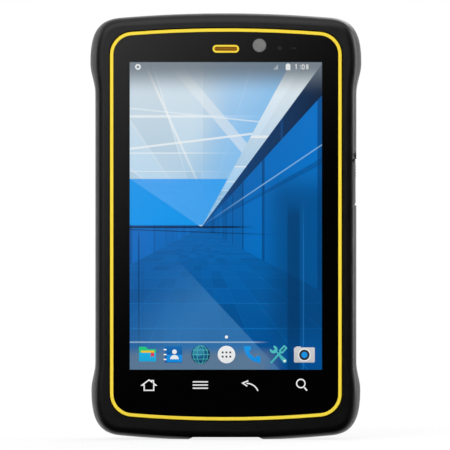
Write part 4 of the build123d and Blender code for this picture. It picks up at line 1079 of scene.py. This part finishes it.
class Symbol(Enum):
    """Plain symbols in millimetres, each a set of marks from the back forwards."""

    # A ring at the left; signal, battery, the figures 1, 0 and 8 and a colon at the right
    STATUS = (
        Mark(circle((-43.1, 0.0), 1.05, 20), Finish.BAR_WHITE, line=0.75),
        Mark([(23.2, -1.3), (25.6, -1.3), (25.6, 1.3)], Finish.BAR_GREY),
        Mark(rounded((30.5, -0.15), 2.3, 2.9, 0.35), Finish.BAR_WHITE),
        Mark(rounded((30.5, 1.5), 1.1, 0.4, 0.12), Finish.BAR_WHITE),
        Mark([(34.0, 0.75), (34.5, 1.15), (34.5, -1.2)], Finish.BAR_WHITE, line=0.38, closed=False),
        Mark(rounded((37.9, 0.0), 1.1, 2.1, 0.5), Finish.BAR_WHITE, line=0.38),
        *(Mark(circle((39.9, up), 0.46, 14), Finish.BAR_WHITE, line=0.323) for up in (-0.55, 0.62)),
        *(Mark(rounded((36.5, up), 0.45, 0.45, 0.15), Finish.BAR_WHITE) for up in (-0.6, 0.6)),
    )
    # A cyan folder with a green tab, a yellow sheet and a red marker
    FOLDER = (
        Mark(
            [(-4.2, -3.4), (4.2, -3.4), (4.2, 2.6), (0.2, 2.6), (-0.9, 3.8), (-4.2, 3.8)],
            Finish.PIXEL_GREEN,
        ),
        Mark([(-3.2, -2.0), (3.3, -2.0), (3.3, 1.9), (-3.2, 1.9)], Finish.PIXEL_YELLOW, 1),
        Mark([(-4.2, -3.4), (4.2, -3.4), (4.2, 0.9), (-4.2, 0.9)], Finish.PIXEL_CYAN, 2),
        Mark([(1.6, -1.3), (2.4, -0.7), (3.2, -1.3), (3.2, 0.9), (1.6, 0.9)], Finish.PIXEL_RED, 3),
    )
    # A blue address book with a plain figure and three rings
    ADDRESS_BOOK = (
        Mark(rounded((0.0, 0.0), 8.6, 8.0, 0.7), Finish.PIXEL_BLUE),
        Mark(rounded((0.5, -1.9), 7.6, 3.6, 0.5), Finish.PIXEL_AZURE, 1),
        Mark(circle((0.5, 1.35), 1.15, 20), Finish.PIXEL_WHITE, 2),
        Mark(arc((0.5, -2.3), 2.1, 0, 180), Finish.PIXEL_WHITE, 2),
        *(Mark(rounded((-4.1, up), 1.5, 0.7, 0.3), Finish.PIXEL_WHITE, 1) for up in (-2.4, 0.0, 2.4)),
    )
    # A sea-blue globe, lit from the upper left, with lines of longitude and latitude
    GLOBE = (
        Mark(circle((0.0, 0.0), 4.6, 40), Finish.PIXEL_DEEP),
        Mark(circle((-0.35, 0.45), 4.0, 36), Finish.PIXEL_SEA, 1),
        Mark(circle((-1.0, 1.3), 2.4, 28), Finish.PIXEL_OCEAN, 2),
        *(Mark(oval(half, 4.4), Finish.PIXEL_TEAL, 3, line=0.26) for half in (1.7, 3.6)),
        *(
            Mark([(-half, up), (half, up)], Finish.PIXEL_TEAL, 4, line=0.26, closed=False)
            for up, half in ((-2.2, 3.8), (0.0, 4.4), (2.2, 3.8))
        ),
    )
    # A white disc with two rows of dots
    ALL_APPS = (
        Mark(circle((0.0, 0.0), 4.3, 40), Finish.PIXEL_WHITE),
        *(
            Mark(rounded((across, up), 0.9, 0.9, 0.2), Finish.PIXEL_DARK, 1)
            for across in (-1.85, 0.0, 1.85)
            for up in (-1.05, 1.05)
        ),
    )
    # A telephone handset, bent like a bow with a pad at both ends
    HANDSET = (
        Mark(
            arc((4.1, 4.1), 8.2, 180, 270, 24)
            + arc((4.1, 4.1), 4.9, 270, 250, 6)
            + arc((4.1, 4.1), 6.3, 246, 204, 12)
            + arc((4.1, 4.1), 4.9, 200, 180, 6),
            Finish.PIXEL_AZURE,
        ),
    )
    # A screwdriver with a crossed spanner
    TOOLS = (
        Mark(
            moved([(-0.45, -5.6), (0.45, -5.6), (0.45, 1.4), (-0.45, 1.4)], (0, 0), -42.0),
            Finish.PIXEL_TEAL,
        ),
        Mark(moved(rounded((0.0, 3.4), 2.3, 4.0, 0.4), (0, 0), -42.0), Finish.PIXEL_TEAL),
        Mark(moved(rounded((0.0, 3.4), 0.8, 2.6, 0.2), (0, 0), -42.0), Finish.PIXEL_SEA, 1),
        Mark(moved(spanner(), (0, 0), 44.0), Finish.PIXEL_TEAL, 1),
        Mark(moved(circle((0.0, -4.3), 0.6, 14), (0, 0), 44.0), Finish.PIXEL_WHITE, 2),
    )
    # A pale camera with a dark ring and a blue lens
    CAMERA = (
        Mark(rounded((0.0, -0.2), 10.2, 7.4, 0.6), Finish.PIXEL_GREY),
        Mark(rounded((-3.0, 3.6), 2.4, 0.7, 0.2), Finish.PIXEL_GREY),
        Mark(circle((0.0, -0.2), 3.1, 32), Finish.PIXEL_WHITE, 1),
        Mark(circle((0.0, -0.2), 2.6, 32), Finish.PIXEL_DARK, 2),
        Mark(circle((0.0, -0.2), 1.5, 24), Finish.PIXEL_AZURE, 3),
    )
    # The dot that shows which page is open
    PAGE_DOT = (Mark(circle((0.0, 0.0), 0.75), Finish.PIXEL_WHITE),)
    # A house in outline with a chimney
    HOUSE = (
        Mark(
            [
                (-2.35, -2.45), (2.35, -2.45), (2.35, 0.1), (3.35, 0.1), (2.2, 1.05), (2.2, 2.3),
                (1.3, 2.3), (1.3, 1.75), (0.0, 2.65), (-3.35, 0.1), (-2.35, 0.1),
            ],
            Finish.LEGEND_WHITE,
            line=0.62,
        ),
    )
    # Three even bars for the list of choices
    BARS = tuple(
        Mark(rounded((0.0, up), 7.6, 0.62, 0.279), Finish.LEGEND_WHITE) for up in (-1.55, 0.0, 1.55)
    )
    # A curved arrow that points back
    ARROW = tuple(
        Mark(path, Finish.LEGEND_WHITE, line=0.62, closed=False)
        for path in (arc((-1.65, -4.9), 5.7, 92, 21, 18), [(-1.0, 2.1), (-3.75, 0.95), (-1.5, -0.6)])
    )
    # A magnifying glass
    FINDER = (
        Mark(circle((0.0, 0.0), 2.05, 32), Finish.LEGEND_WHITE, line=0.62),
        Mark(
            moved([(0.0, -2.5), (0.0, -4.6)], (0, 0), 41.009),
            Finish.LEGEND_WHITE,
            line=0.744,
            closed=False,
        ),
    )
    # An open ring with a bar, the common sign for power
    POWER = (
        Mark(arc((0.0, 0.0), 1.45, 125, 415, 28), Finish.KEY_RUBBER, line=0.5, closed=False),
        Mark([(0.0, 0.3), (0.0, 2.0)], Finish.KEY_RUBBER, line=0.5, closed=False),
    )
    # A plus sign in one outline
    PLUS = (
        Mark(
            [
                (0.25, 0.25), (0.25, 1.6), (-0.25, 1.6), (-0.25, 0.25), (-1.6, 0.25), (-1.6, -0.25),
                (-0.25, -0.25), (-0.25, -1.6), (0.25, -1.6), (0.25, -0.25), (1.6, -0.25), (1.6, 0.25),
            ],
            Finish.KEY_RUBBER,
        ),
    )
    # A minus sign
    MINUS = (Mark(rounded((0.0, 0.0), 3.2, 0.5, 0.2), Finish.KEY_RUBBER),)
    # A ring with a dot for the free key
    RING = (
        Mark(circle((0.0, 0.0), 1.45, 28), Finish.KEY_RUBBER, line=0.5),
        Mark(circle((0.0, 0.0), 0.5, 16), Finish.KEY_RUBBER),
    )

    def draw(self, piece: FlatPiece, middle: Point) -> None:
        """Add the whole symbol to a piece."""
        for mark in self.value:
            mark.draw(piece, middle)


@dataclass
class LitScreen:
    """Symbols on the lit screen: status bar, dock row and page dot."""

    panel_mm: float = 8.155
    layer_step_mm: float = 0.022
    layer_mm: float = 0.018
    dock_up: float = 41.6
    dock_across: tuple[float, ...] = (-38.4, -25.7, -12.4, 0.3, 13.0, 25.8, 38.5)
    dock: tuple[Symbol, ...] = (
        Symbol.FOLDER,
        Symbol.ADDRESS_BOOK,
        Symbol.GLOBE,
        Symbol.ALL_APPS,
        Symbol.HANDSET,
        Symbol.TOOLS,
        Symbol.CAMERA,
    )
    status: Point = (0.0, 182.6)
    page_dot: Point = (0.3, 50.2)

    def build(self) -> None:
        """Build the status bar and the dock row with the page dot, as one piece each."""
        row = [(symbol, (across, self.dock_up)) for symbol, across in zip(self.dock, self.dock_across)]
        self.layer("status_marks", [(Symbol.STATUS, self.status)])
        self.layer("dock_symbols", row + [(Symbol.PAGE_DOT, self.page_dot)])

    def layer(self, name: str, symbols: list[tuple[Symbol, Point]]) -> None:
        """Build thin slabs on the front of the display.

        Args:
            name: The piece's name.
            symbols: Its symbols and their middles.
        """
        piece = FlatPiece(
            name, Facing.FRONT, self.panel_mm, self.layer_step_mm, self.layer_mm, slot="screen"
        )
        for symbol, middle in symbols:
            symbol.draw(piece, middle)
        piece.build()


@dataclass
class TouchKeys:
    """White legends of the four touch keys, on the back of the glass, made to glow as painted light."""

    glass_back_mm: float = 8.25
    ink_mm: float = 0.018
    house: Point = (-37.7, 26.5)
    bars: Point = (-12.5, 26.65)
    arrow: Point = (12.0, 26.65)
    finder: Point = (36.75, 27.4)

    def build(self) -> None:
        """Build the four legends as one printed piece."""
        ink = FlatPiece(
            "touch_key_legends", Facing.FRONT, self.glass_back_mm, 0.0, self.ink_mm, slot="black_print"
        )
        Symbol.HOUSE.draw(ink, self.house)
        Symbol.BARS.draw(ink, self.bars)
        Symbol.ARROW.draw(ink, self.arrow)
        Symbol.FINDER.draw(ink, self.finder)
        ink.build()


@dataclass
class SideKeyMarks:
    """Raised moulded marks on the caps of the side keys."""

    rise_mm: float = 0.12
    sink_mm: float = 0.05
    depth_middle: float = 1.0

    def build(self) -> None:
        """Build one mark for each key, on the key's own body."""
        self.mark("power_key", Facing.RIGHT, Symbol.POWER)
        self.mark("volume_up_key", Facing.LEFT, Symbol.PLUS)
        self.mark("volume_down_key", Facing.LEFT, Symbol.MINUS)
        self.mark("function_key", Facing.LEFT, Symbol.RING)

    def mark(self, key: str, facing: Facing, symbol: Symbol) -> None:
        """Build a mark at the middle of a key's cap.

        Args:
            key: Node and body of the key.
            facing: The side that it looks to.
            symbol: What the mark shows.
        """
        low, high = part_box(key)
        cap = max(abs(low.x), abs(high.x)) / MM
        across = self.depth_middle if facing is Facing.RIGHT else -self.depth_middle
        piece = FlatPiece(
            f"{key}_mark", facing, cap - self.sink_mm, 0.0, self.rise_mm, body=key, slot="key_rubber"
        )
        symbol.draw(piece, (across, (low.z + high.z) / 2 / MM))
        piece.build()


def in_row(tree: Tree, given: dict[str, Socket], shape: dict[str, Socket]) -> Socket:
    """Set copies of a shape at even steps along a line.

    Args:
        tree: The tree.
        given: Its inputs, with Count, Start and Step among them.
        shape: The shape as Instance, with its Scale if it has one.

    Returns:
        The copies as instances.
    """
    inputs = {"Count": given["Count"], "Start Location": given["Start"], "Offset": given["Step"]}
    row = add_node(tree, "GeometryNodeMeshLine", inputs, mode="OFFSET")
    return add_node(tree, "GeometryNodeInstanceOnPoints", {"Points": row, **shape})


def row_of_bars(tree: Tree, given: dict[str, Socket]) -> Socket:
    """A row of small bars of the size that the input Bar gives."""
    bar = add_node(tree, "GeometryNodeMeshCube", {"Size": given["Bar"]})
    return in_row(tree, given, {"Instance": bar})


def row_of_ribs(tree: Tree, given: dict[str, Socket]) -> Socket:
    """A row of smooth ribs that stand half out of a surface.

    Args:
        tree: The tree.
        given: Count, Start, Step and Rib, which is half of a rib's size each way.

    Returns:
        The ribs as instances.
    """
    inputs = {"Segments": RIB_SEGMENTS, "Rings": RIB_RINGS, "Radius": 1.0}
    ball = add_node(tree, "GeometryNodeMeshUVSphere", inputs)
    smooth = add_node(tree, "GeometryNodeSetShadeSmooth", {0: ball})
    return in_row(tree, given, {"Instance": smooth, "Scale": given["Rib"]})


@dataclass
class PortBay:
    """Contacts on the tongues of the two sockets and grip ribs on their door."""

    contact_pitch: float = 0.62 * MM
    contact_width: float = 0.3 * MM
    contact_rise: float = 0.04 * MM
    contact_inset: float = 1.1 * MM
    contact_share: float = 0.55
    contact_counts: tuple[int, int] = (9, 6)
    tongue_halves: tuple[float, float] = (0.35 * MM, 0.3 * MM)
    rib_count: int = 4
    rib_pitch: float = 1.5 * MM
    rib_radius: float = 0.3 * MM
    rib_length: float = 3.6 * MM
    rib_sink: float = 0.12 * MM
    rib_start: float = 3.2 * MM

    def build(self) -> None:
        """Build the contact rows and the ribs."""
        sockets = ("usb_socket", "hdmi_socket")
        for socket, count, half in zip(sockets, self.contact_counts, self.tongue_halves):
            self.contacts(socket, count, half)
        self.ribs()

    def contacts(self, socket: str, count: int, half: float) -> None:
        """Set a row of plated contacts through a tongue, so that both its faces have one.

        Args:
            socket: The socket's node.
            count: Contacts in a row.
            half: Half the tongue's thickness.
        """
        low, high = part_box(socket)
        middle = (low + high) / 2
        length = (high.x - low.x) * self.contact_share
        across = high.x - self.contact_inset - length / 2
        sizes: dict[str, SizeValue] = {
            "Count": count,
            "Start": Vector((across, middle.y, middle.z - self.contact_pitch * (count - 1) / 2)),
            "Step": Vector((0, 0, self.contact_pitch)),
            "Bar": Vector((length, 2 * (half + self.contact_rise), self.contact_width)),
        }
        grow(f"{socket}_contacts", sizes, row_of_bars, Finish.GOLD)

    def ribs(self) -> None:
        """Set soft grip ribs across the upper end of the door."""
        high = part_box("port_door")[1]
        sizes: dict[str, SizeValue] = {
            "Count": self.rib_count,
            "Start": Vector((high.x - self.rib_sink, 0.0, high.z - self.rib_start)),
            "Step": Vector((0, 0, -self.rib_pitch)),
            "Rib": Vector((self.rib_radius, self.rib_length, self.rib_radius)),
        }
        rubber = Finish.BUMPER_RUBBER
        grow("port_door_ribs", sizes, row_of_ribs, rubber, body="port_door")


@dataclass
class RearFace:
    """Details of the back: lid ribs, threads, the rear lens and the flash."""

    lid_rib_count: int = 5
    lid_rib_pitch: float = 1.7 * MM
    lid_rib_start: float = 9.2 * MM
    lid_rib_sink: float = 0.05 * MM
    lid_rib_half: tuple[float, float, float] = (9.0 * MM, 0.45 * MM, 0.5 * MM)
    insert_radius: float = 2.8 * MM
    insert_depth: float = 4.6 * MM
    thread_pitch: float = 0.7 * MM
    thread_depth: float = 0.22 * MM
    thread_inset: float = 0.15 * MM
    thread_overlap_mm: float = 0.02
    thread_steps: int = 24
    thread_sides: int = 3
    lens_radius_mm: float = 1.75
    lens_dome_mm: float = 0.24
    lens_seat_mm: float = 0.05
    lens_lift_mm: float = 0.002
    lens_dome_steps: int = 8
    lens_rings_mm: tuple[Point, ...] = (
        (0.0, 0.0), (2.6, 0.0), (2.6, 0.22), (2.3, 0.22), (2.3, 0.12), (2.0, 0.12), (2.0, 0.05),
    )
    lamp_depth_mm: float = 0.6
    lamp_layer_mm: float = 0.25
    lamp_base_mm: float = 4.0
    lamp_base_corner_mm: float = 0.4
    lamp_chip_mm: float = 2.4
    lamp_chip_corner_mm: float = 0.2
    flash_rings: int = 5
    flash_ring_step: float = 0.38 * MM
    flash_ring_wire: float = 0.09 * MM
    flash_ring_steps: int = 40
    flash_wire_sides: int = 6

    def build(self) -> None:
        """Build every detail of the back."""
        self.lid_ribs()
        self.threads()
        self.rear_lens()
        self.flash_lamp()
        self.flash_grooves()

    def lid_ribs(self) -> None:
        """Grip ribs below the finger dish of the battery lid."""
        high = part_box("battery_cover")[1]
        sizes: dict[str, SizeValue] = {
            "Count": self.lid_rib_count,
            "Start": Vector((0.0, high.y - self.lid_rib_sink, high.z - self.lid_rib_start)),
            "Step": Vector((0, 0, -self.lid_rib_pitch)),
            "Rib": Vector(self.lid_rib_half),
        }
        grow("battery_lid_ribs", sizes, row_of_ribs, Finish.LID_PLASTIC)

    def threads(self) -> None:
        """A helical thread inside each brass insert."""
        low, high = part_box("strap_inserts")
        bolt = next(mount for mount in frame["record"]["mounts"] if mount["name"] == "back_inserts")
        depth = high.y - self.insert_depth - self.thread_inset
        sizes: dict[str, SizeValue] = {
            "Spread": (high.x - low.x + high.z - low.z) / 2 - 2 * self.insert_radius,
            "Turns": self.insert_depth / self.thread_pitch,
            "Bore": (bolt["dims"]["hole_r_mm"] - self.thread_overlap_mm) * MM,
            "Length": self.insert_depth,
            "Thread": self.thread_depth,
            "Middle": Vector((0.0, depth, (low.z + high.z) / 2)),
        }
        grow("insert_threads", sizes, self.four_threads, Finish.BRASS)

    def four_threads(self, tree: Tree, given: dict[str, Socket]) -> Socket:
        """A three-sided ridge along a helix, set at the four corners of a square.

        Args:
            tree: The tree.
            given: Spread, Turns, Bore, Length, Thread and Middle.

        Returns:
            The threads, with their axes turned to the back.
        """
        inputs = {
            "Resolution": self.thread_steps,
            "Rotations": given["Turns"],
            "Start Radius": given["Bore"],
            "End Radius": given["Bore"],
            "Height": given["Length"],
        }
        helix = add_node(tree, "GeometryNodeCurveSpiral", inputs)
        inputs = {"Resolution": self.thread_sides, "Radius": given["Thread"]}
        ridge = add_node(tree, "GeometryNodeCurvePrimitiveCircle", inputs, mode="RADIUS")
        inputs = {"Curve": helix, "Profile Curve": ridge, "Fill Caps": True}
        thread = add_node(tree, "GeometryNodeCurveToMesh", inputs)
        inputs = {"Size X": given["Spread"], "Size Y": given["Spread"], "Vertices X": 2, "Vertices Y": 2}
        square = add_node(tree, "GeometryNodeMeshGrid", inputs)
        threads = add_node(tree, "GeometryNodeInstanceOnPoints", {"Points": square, "Instance": thread})
        turn = (-math.pi / 2, 0.0, 0.0)
        inputs = {"Geometry": threads, "Rotation": turn, "Translation": given["Middle"]}
        return add_node(tree, "GeometryNodeTransform", inputs)

    def rear_lens(self) -> None:
        """A domed front lens with stepped rings on the rear camera's barrel."""
        low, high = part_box("rear_camera_module")
        centre = (low + high) / 2
        base = high.y / MM
        seat = base + self.lens_seat_mm
        radius, dome = self.lens_radius_mm, self.lens_dome_mm
        rings = [(across, base + rise) for across, rise in self.lens_rings_mm]
        rings += [(radius, seat), (0.0, seat)]
        lens = [(0.0, seat + self.lens_lift_mm)]
        quarter = arc((0, 0), 1.0, 0, 90, self.lens_dome_steps)
        lens += [(radius * across, seat + dome * rise) for across, rise in quarter]
        turned("rear_lens_rings", rings, centre, Finish.MODULE_PLASTIC)
        turned("rear_lens_element", lens, centre, Finish.LENS_COATING)

    def flash_lamp(self) -> None:
        """The square lamp with its phosphor, against the foot of the flash lens."""
        low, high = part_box("flash_lens")
        centre = (-(low.x + high.x) / 2 / MM, (low.z + high.z) / 2 / MM)
        base, layer = low.y / MM - self.lamp_depth_mm, self.lamp_layer_mm
        lamp = FlatPiece("flash_lamp", Facing.BACK, base, layer, layer, slot="flash_clear")
        side, chip = self.lamp_base_mm, self.lamp_chip_mm
        lamp.fill(rounded(centre, side, side, self.lamp_base_corner_mm), Finish.ADHESIVE)
        lamp.fill(rounded(centre, chip, chip, self.lamp_chip_corner_mm), Finish.PHOSPHOR, level=1)
        lamp.build()

    def flash_grooves(self) -> None:
        """Fine raised rings on the flash lens that spread its light."""
        low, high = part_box("flash_lens")
        sizes: dict[str, SizeValue] = {
            "Count": self.flash_rings,
            "Step": self.flash_ring_step,
            "Wire": self.flash_ring_wire,
            "Middle": Vector(((low.x + high.x) / 2, high.y, (low.z + high.z) / 2)),
        }
        grow("flash_lens_rings", sizes, self.growing_rings, Finish.FLASH_CLEAR)

    def growing_rings(self, tree: Tree, given: dict[str, Socket]) -> Socket:
        """Rings of even wire whose radius grows by the same step.

        Args:
            tree: The tree.
            given: Count, Step, Wire and Middle.

        Returns:
            The rings, turned to the back.
        """
        inputs = {"Count": given["Count"], "Start Location": (0, 0, 0), "Offset": (0, 0, 0)}
        row = add_node(tree, "GeometryNodeMeshLine", inputs, mode="OFFSET")
        order = add_node(tree, "GeometryNodeInputIndex")
        inputs = {0: order, 1: given["Step"], 2: given["Step"]}
        radius = add_node(tree, "ShaderNodeMath", inputs, operation="MULTIPLY_ADD")
        inputs = {"Resolution": self.flash_ring_steps, "Radius": 1.0}
        hoop = add_node(tree, "GeometryNodeCurvePrimitiveCircle", inputs, mode="RADIUS")
        inputs = {"Points": row, "Instance": hoop, "Scale": radius}
        hoops = add_node(tree, "GeometryNodeInstanceOnPoints", inputs)
        curves = add_node(tree, "GeometryNodeRealizeInstances", {"Geometry": hoops})
        inputs = {"Resolution": self.flash_wire_sides, "Radius": given["Wire"]}
        wire = add_node(tree, "GeometryNodeCurvePrimitiveCircle", inputs, mode="RADIUS")
        rings = add_node(tree, "GeometryNodeCurveToMesh", {"Curve": curves, "Profile Curve": wire})
        turn = (math.pi / 2, 0.0, 0.0)
        inputs = {"Geometry": rings, "Rotation": turn, "Translation": given["Middle"]}
        return add_node(tree, "GeometryNodeTransform", inputs)


def turned(
    name: str, profile: Outline, centre: Vector, finish: Finish, steps: int = 48
) -> Piece:
    """Turn a closed profile about an axis that looks to the back.

    Args:
        name: The piece's name.
        profile: Radius and depth of each point in millimetres, from axis to axis.
        centre: A point on the axis.
        finish: The piece's finish.
        steps: Sides of the round.

    Returns:
        The piece.
    """
    mesh = bmesh.new()
    middle = (centre.x / MM, centre.z / MM)
    loops = []
    for radius, depth in profile:
        ring = circle(middle, radius, steps) if radius > ON_AXIS_MM else [middle]
        loops.append([mesh.verts.new((across * MM, depth * MM, up * MM)) for across, up in ring])
    for first, second in zip(loops, loops[1:]):
        for step in range(steps):
            following = (step + 1) % steps
            corners = [first[step % len(first)], first[following % len(first)]]
            corners += [second[following % len(second)], second[step % len(second)]]
            unique = list(dict.fromkeys(corners))
            if len(unique) > 2:
                mesh.faces.new(unique)
    bmesh.ops.recalc_face_normals(mesh, faces=mesh.faces)
    data = bpy.data.meshes.new(name)
    mesh.to_mesh(data)
    mesh.free()
    data.materials.append(finish.material())
    data.shade_smooth()
    data.set_sharp_from_angle(angle=SHARP_ANGLE)
    return settle(bpy.data.objects.new(name, data), ROOT_BODY)


@dataclass(frozen=True)
class Lamp:
    """A soft rectangular lamp, in metres and watts."""

    name: str
    place: tuple[float, float, float]
    width: float
    height: float
    watts: float

    def hang(self, aim: Vector) -> None:
        """Put the lamp in the scene and turn it to a point.

        Args:
            aim: The point.
        """
        data = bpy.data.lights.new(self.name, "AREA")
        data.shape = "RECTANGLE"
        data.size = self.width
        data.size_y = self.height
        data.energy = self.watts
        lamp = bpy.data.objects.new(self.name, data)
        lamp.location = self.place
        lamp.rotation_euler = (aim - Vector(self.place)).to_track_quat("-Z", "Y").to_euler()
        bpy.context.scene.collection.objects.link(lamp)


@dataclass
class Studio:
    """Camera, pale floor, soft lamps and dark cards that only reflections see."""

    camera_distance: float = 3.0
    frame_height: float = 0.2205
    aim: Point = (-0.00042, 0.1051)
    sensor_mm: float = 36.0
    front_y: float = -0.01005
    world_light: float = 0.64
    white: str = "#FFFFFF"
    paper: str = "#FAFAFA"
    black: str = "#060606"
    floor_half: float = 1.0
    floor_fade: Point = (0.3, 0.95)
    shadow_share: float = 0.25
    card_distance: float = 0.4
    card_half: float = 1.4
    card_low: float = 0.001
    card_slope: tuple[float, float, float] = (-4.8, 0.0, 4.7)
    card_slope_range: Point = (0.27, 1.27)
    card_curve: float = 2.0
    card_level: float = 0.8
    card_fade: Point = (-0.3, -0.17)
    card_frame: Point = (0.063, 0.227)
    card_frame_soft: float = 0.014
    card_frame_gain: float = 2.2
    floor_card_end: float = -0.0085
    floor_card_half: float = 5.0
    # A wide lamp before and above the object at its left, two tall ones at its sides, one behind it
    lamps: tuple[Lamp, ...] = (
        Lamp("key_lamp", (-1.0, -1.5, 1.3), 1.2, 1.0, 15.0),
        Lamp("left_lamp", (-1.4, 0.2, 0.35), 0.5, 1.2, 5.0),
        Lamp("right_lamp", (1.4, 0.2, 0.35), 0.5, 1.2, 15.0),
        Lamp("back_lamp", (0.6, 1.5, 1.3), 1.0, 1.0, 9.0),
    )

    def build(self) -> None:
        """Build the whole studio."""
        self.world()
        self.floor()
        self.cards()
        for lamp in self.lamps:
            lamp.hang(Vector((0.0, 0.0, self.aim[1])))
        self.camera()

    def sight(self, tree: Tree) -> Socket:
        """Give 1 to rays that see the room, straight or through gloss or glass, and 0 to light.

        Args:
            tree: The tree of the world or of a material.

        Returns:
            The test.
        """
        rays = add_node(tree, "ShaderNodeLightPath").node.outputs
        seen = rays["Is Camera Ray"]
        for kind in ("Is Glossy Ray", "Is Transmission Ray"):
            seen = add_node(tree, "ShaderNodeMath", {0: seen, 1: rays[kind]}, operation="MAXIMUM")
        return seen

    def world(self) -> None:
        """White around the object for sight, a plain grey for light."""
        world = bpy.data.worlds.new("white_room")
        world.use_nodes = True
        tree = world.node_tree
        tree.nodes.clear()
        light, white = (
            add_node(tree, "ShaderNodeBackground", {"Color": linear(self.white), "Strength": strength})
            for strength in (self.world_light, 1.0)
        )
        mixed = add_node(tree, "ShaderNodeMixShader", {0: self.sight(tree), 1: light, 2: white})
        add_node(tree, "ShaderNodeOutputWorld", {"Surface": mixed})
        bpy.context.scene.world = world

    def plane(self, name: str, corners: Sequence[Sequence[float]], material: Material) -> Piece:
        """Make a flat stage piece.

        Args:
            name: Its name.
            corners: Its four corners.
            material: Its material.

        Returns:
            The stage piece.
        """
        data = bpy.data.meshes.new(name)
        data.from_pydata(corners, [], [(0, 1, 2, 3)])
        data.materials.append(material)
        piece = bpy.data.objects.new(name, data)
        bpy.context.scene.collection.objects.link(piece)
        return piece

    def floor(self) -> None:
        """A white floor that keeps a soft shadow and fades into the white room."""
        material, tree = new_material("white_paper_floor")
        paper = add_node(tree, "ShaderNodeBsdfDiffuse", {"Color": linear(self.paper)})
        glow = add_node(tree, "ShaderNodeEmission", {"Color": linear(self.white), "Strength": 1.0})
        inputs = {0: self.sight(tree), 1: 1 - self.shadow_share}
        share = add_node(tree, "ShaderNodeMath", inputs, operation="MULTIPLY")
        lit = add_node(tree, "ShaderNodeMixShader", {0: share, 1: paper, 2: glow})
        place = add_node(tree, "ShaderNodeTexCoord", out="Object")
        reach = add_node(tree, "ShaderNodeVectorMath", {0: place}, out="Value", operation="LENGTH")
        near, away = self.floor_fade
        inputs = {"Value": reach, "From Min": near, "From Max": away}
        far = add_node(tree, "ShaderNodeMapRange", inputs, interpolation_type="SMOOTHSTEP")
        room = add_node(tree, "ShaderNodeBsdfTransparent")
        surface = add_node(tree, "ShaderNodeMixShader", {0: far, 1: lit, 2: room})
        add_node(tree, "ShaderNodeOutputMaterial", {"Surface": surface})
        half = self.floor_half
        corners = [(-half, -half, 0), (half, -half, 0), (half, half, 0), (-half, half, 0)]
        self.plane("floor", corners, material)

    def graded(self) -> Material:
        """Build a card's material that brightens to the upper left, and more outside the glass.

        Returns:
            The material.
        """
        material, tree = new_material("graded_card")
        place = add_node(tree, "ShaderNodeTexCoord", out="Object")
        inputs = {0: place, 1: self.card_slope}
        slope = add_node(tree, "ShaderNodeVectorMath", inputs, out="Value", operation="DOT_PRODUCT")
        dark, pale = self.card_slope_range
        inputs = {"Value": slope, "From Min": dark, "From Max": pale}
        share = add_node(tree, "ShaderNodeMapRange", inputs)
        bright = add_node(tree, "ShaderNodeMath", {0: share, 1: self.card_curve}, operation="POWER")
        parts = add_node(tree, "ShaderNodeSeparateXYZ", {0: place}).node.outputs
        start, end = self.card_fade
        inputs = {"Value": parts["X"], "From Min": start, "From Max": end, "To Max": self.card_level}
        level = add_node(tree, "ShaderNodeMapRange", inputs, interpolation_type="SMOOTHSTEP")
        (side, top), soft = self.card_frame, self.card_frame_soft
        left, above = (
            add_node(tree, "ShaderNodeMapRange", {"Value": value, "From Min": edge, "From Max": beyond})
            for value, edge, beyond in ((parts["X"], -side, -side - soft), (parts["Z"], top, top + soft))
        )
        outside = add_node(tree, "ShaderNodeMath", {0: left, 1: above}, operation="MAXIMUM")
        inputs = {"Value": outside, "To Min": 1.0, "To Max": self.card_frame_gain}
        gain = add_node(tree, "ShaderNodeMapRange", inputs)
        for factor in (level, gain):
            bright = add_node(tree, "ShaderNodeMath", {0: bright, 1: factor}, operation="MULTIPLY")
        card = add_node(tree, "ShaderNodeEmission", {"Color": linear(self.white), "Strength": bright})
        add_node(tree, "ShaderNodeOutputMaterial", {"Surface": card})
        return material

    def cards(self) -> None:
        """A graded card before the object and a black one on the floor, for the glass to mirror."""
        black, tree = new_material("black_card")
        dark = add_node(tree, "ShaderNodeEmission", {"Color": linear(self.black), "Strength": 1.0})
        add_node(tree, "ShaderNodeOutputMaterial", {"Surface": dark})
        half, back, low = self.card_half, -self.card_distance, self.card_low
        upright = [(-half, back, low), (half, back, low), (half, back, half), (-half, back, half)]
        wide, end = self.floor_card_half, self.floor_card_end
        lying = [(-wide, back, low), (wide, back, low), (wide, end, low), (-wide, end, low)]
        cards = (("graded_card", upright, self.graded()), ("floor_card", lying, black))
        for name, corners, material in cards:
            piece = self.plane(name, corners, material)
            piece.visible_camera = False
            piece.visible_diffuse = False
            piece.visible_shadow = False

    def camera(self) -> None:
        """A long lens straight before the screen."""
        data = bpy.data.cameras.new("camera")
        data.sensor_fit = "HORIZONTAL"
        data.sensor_width = self.sensor_mm
        data.lens = self.sensor_mm * self.camera_distance / self.frame_height
        camera = bpy.data.objects.new("camera", data)
        camera.location = (self.aim[0], self.front_y - self.camera_distance, self.aim[1])
        camera.rotation_euler = (math.pi / 2, 0.0, 0.0)
        bpy.context.scene.collection.objects.link(camera)
        bpy.context.scene.camera = camera


def dress_nodes() -> None:
    """Give every carried-over CAD node its finish."""
    for finish, nodes in NODE_FINISHES.items():
        for node in nodes:
            frame["nodes"][node].material_slots[0].material = finish.material()
            LOG.info("%s wears %s", node, finish.value.name)


def main() -> None:
    """Build the looks in order."""
    logging.basicConfig(level=logging.INFO)
    bpy.context.scene.view_settings.view_transform = "Standard"
    dress_nodes()
    for assembly in (LitScreen(), TouchKeys(), SideKeyMarks(), PortBay(), RearFace(), Studio()):
        LOG.info("building %s", type(assembly).__name__)
        assembly.build()


if __name__ == "__main__":
    main()
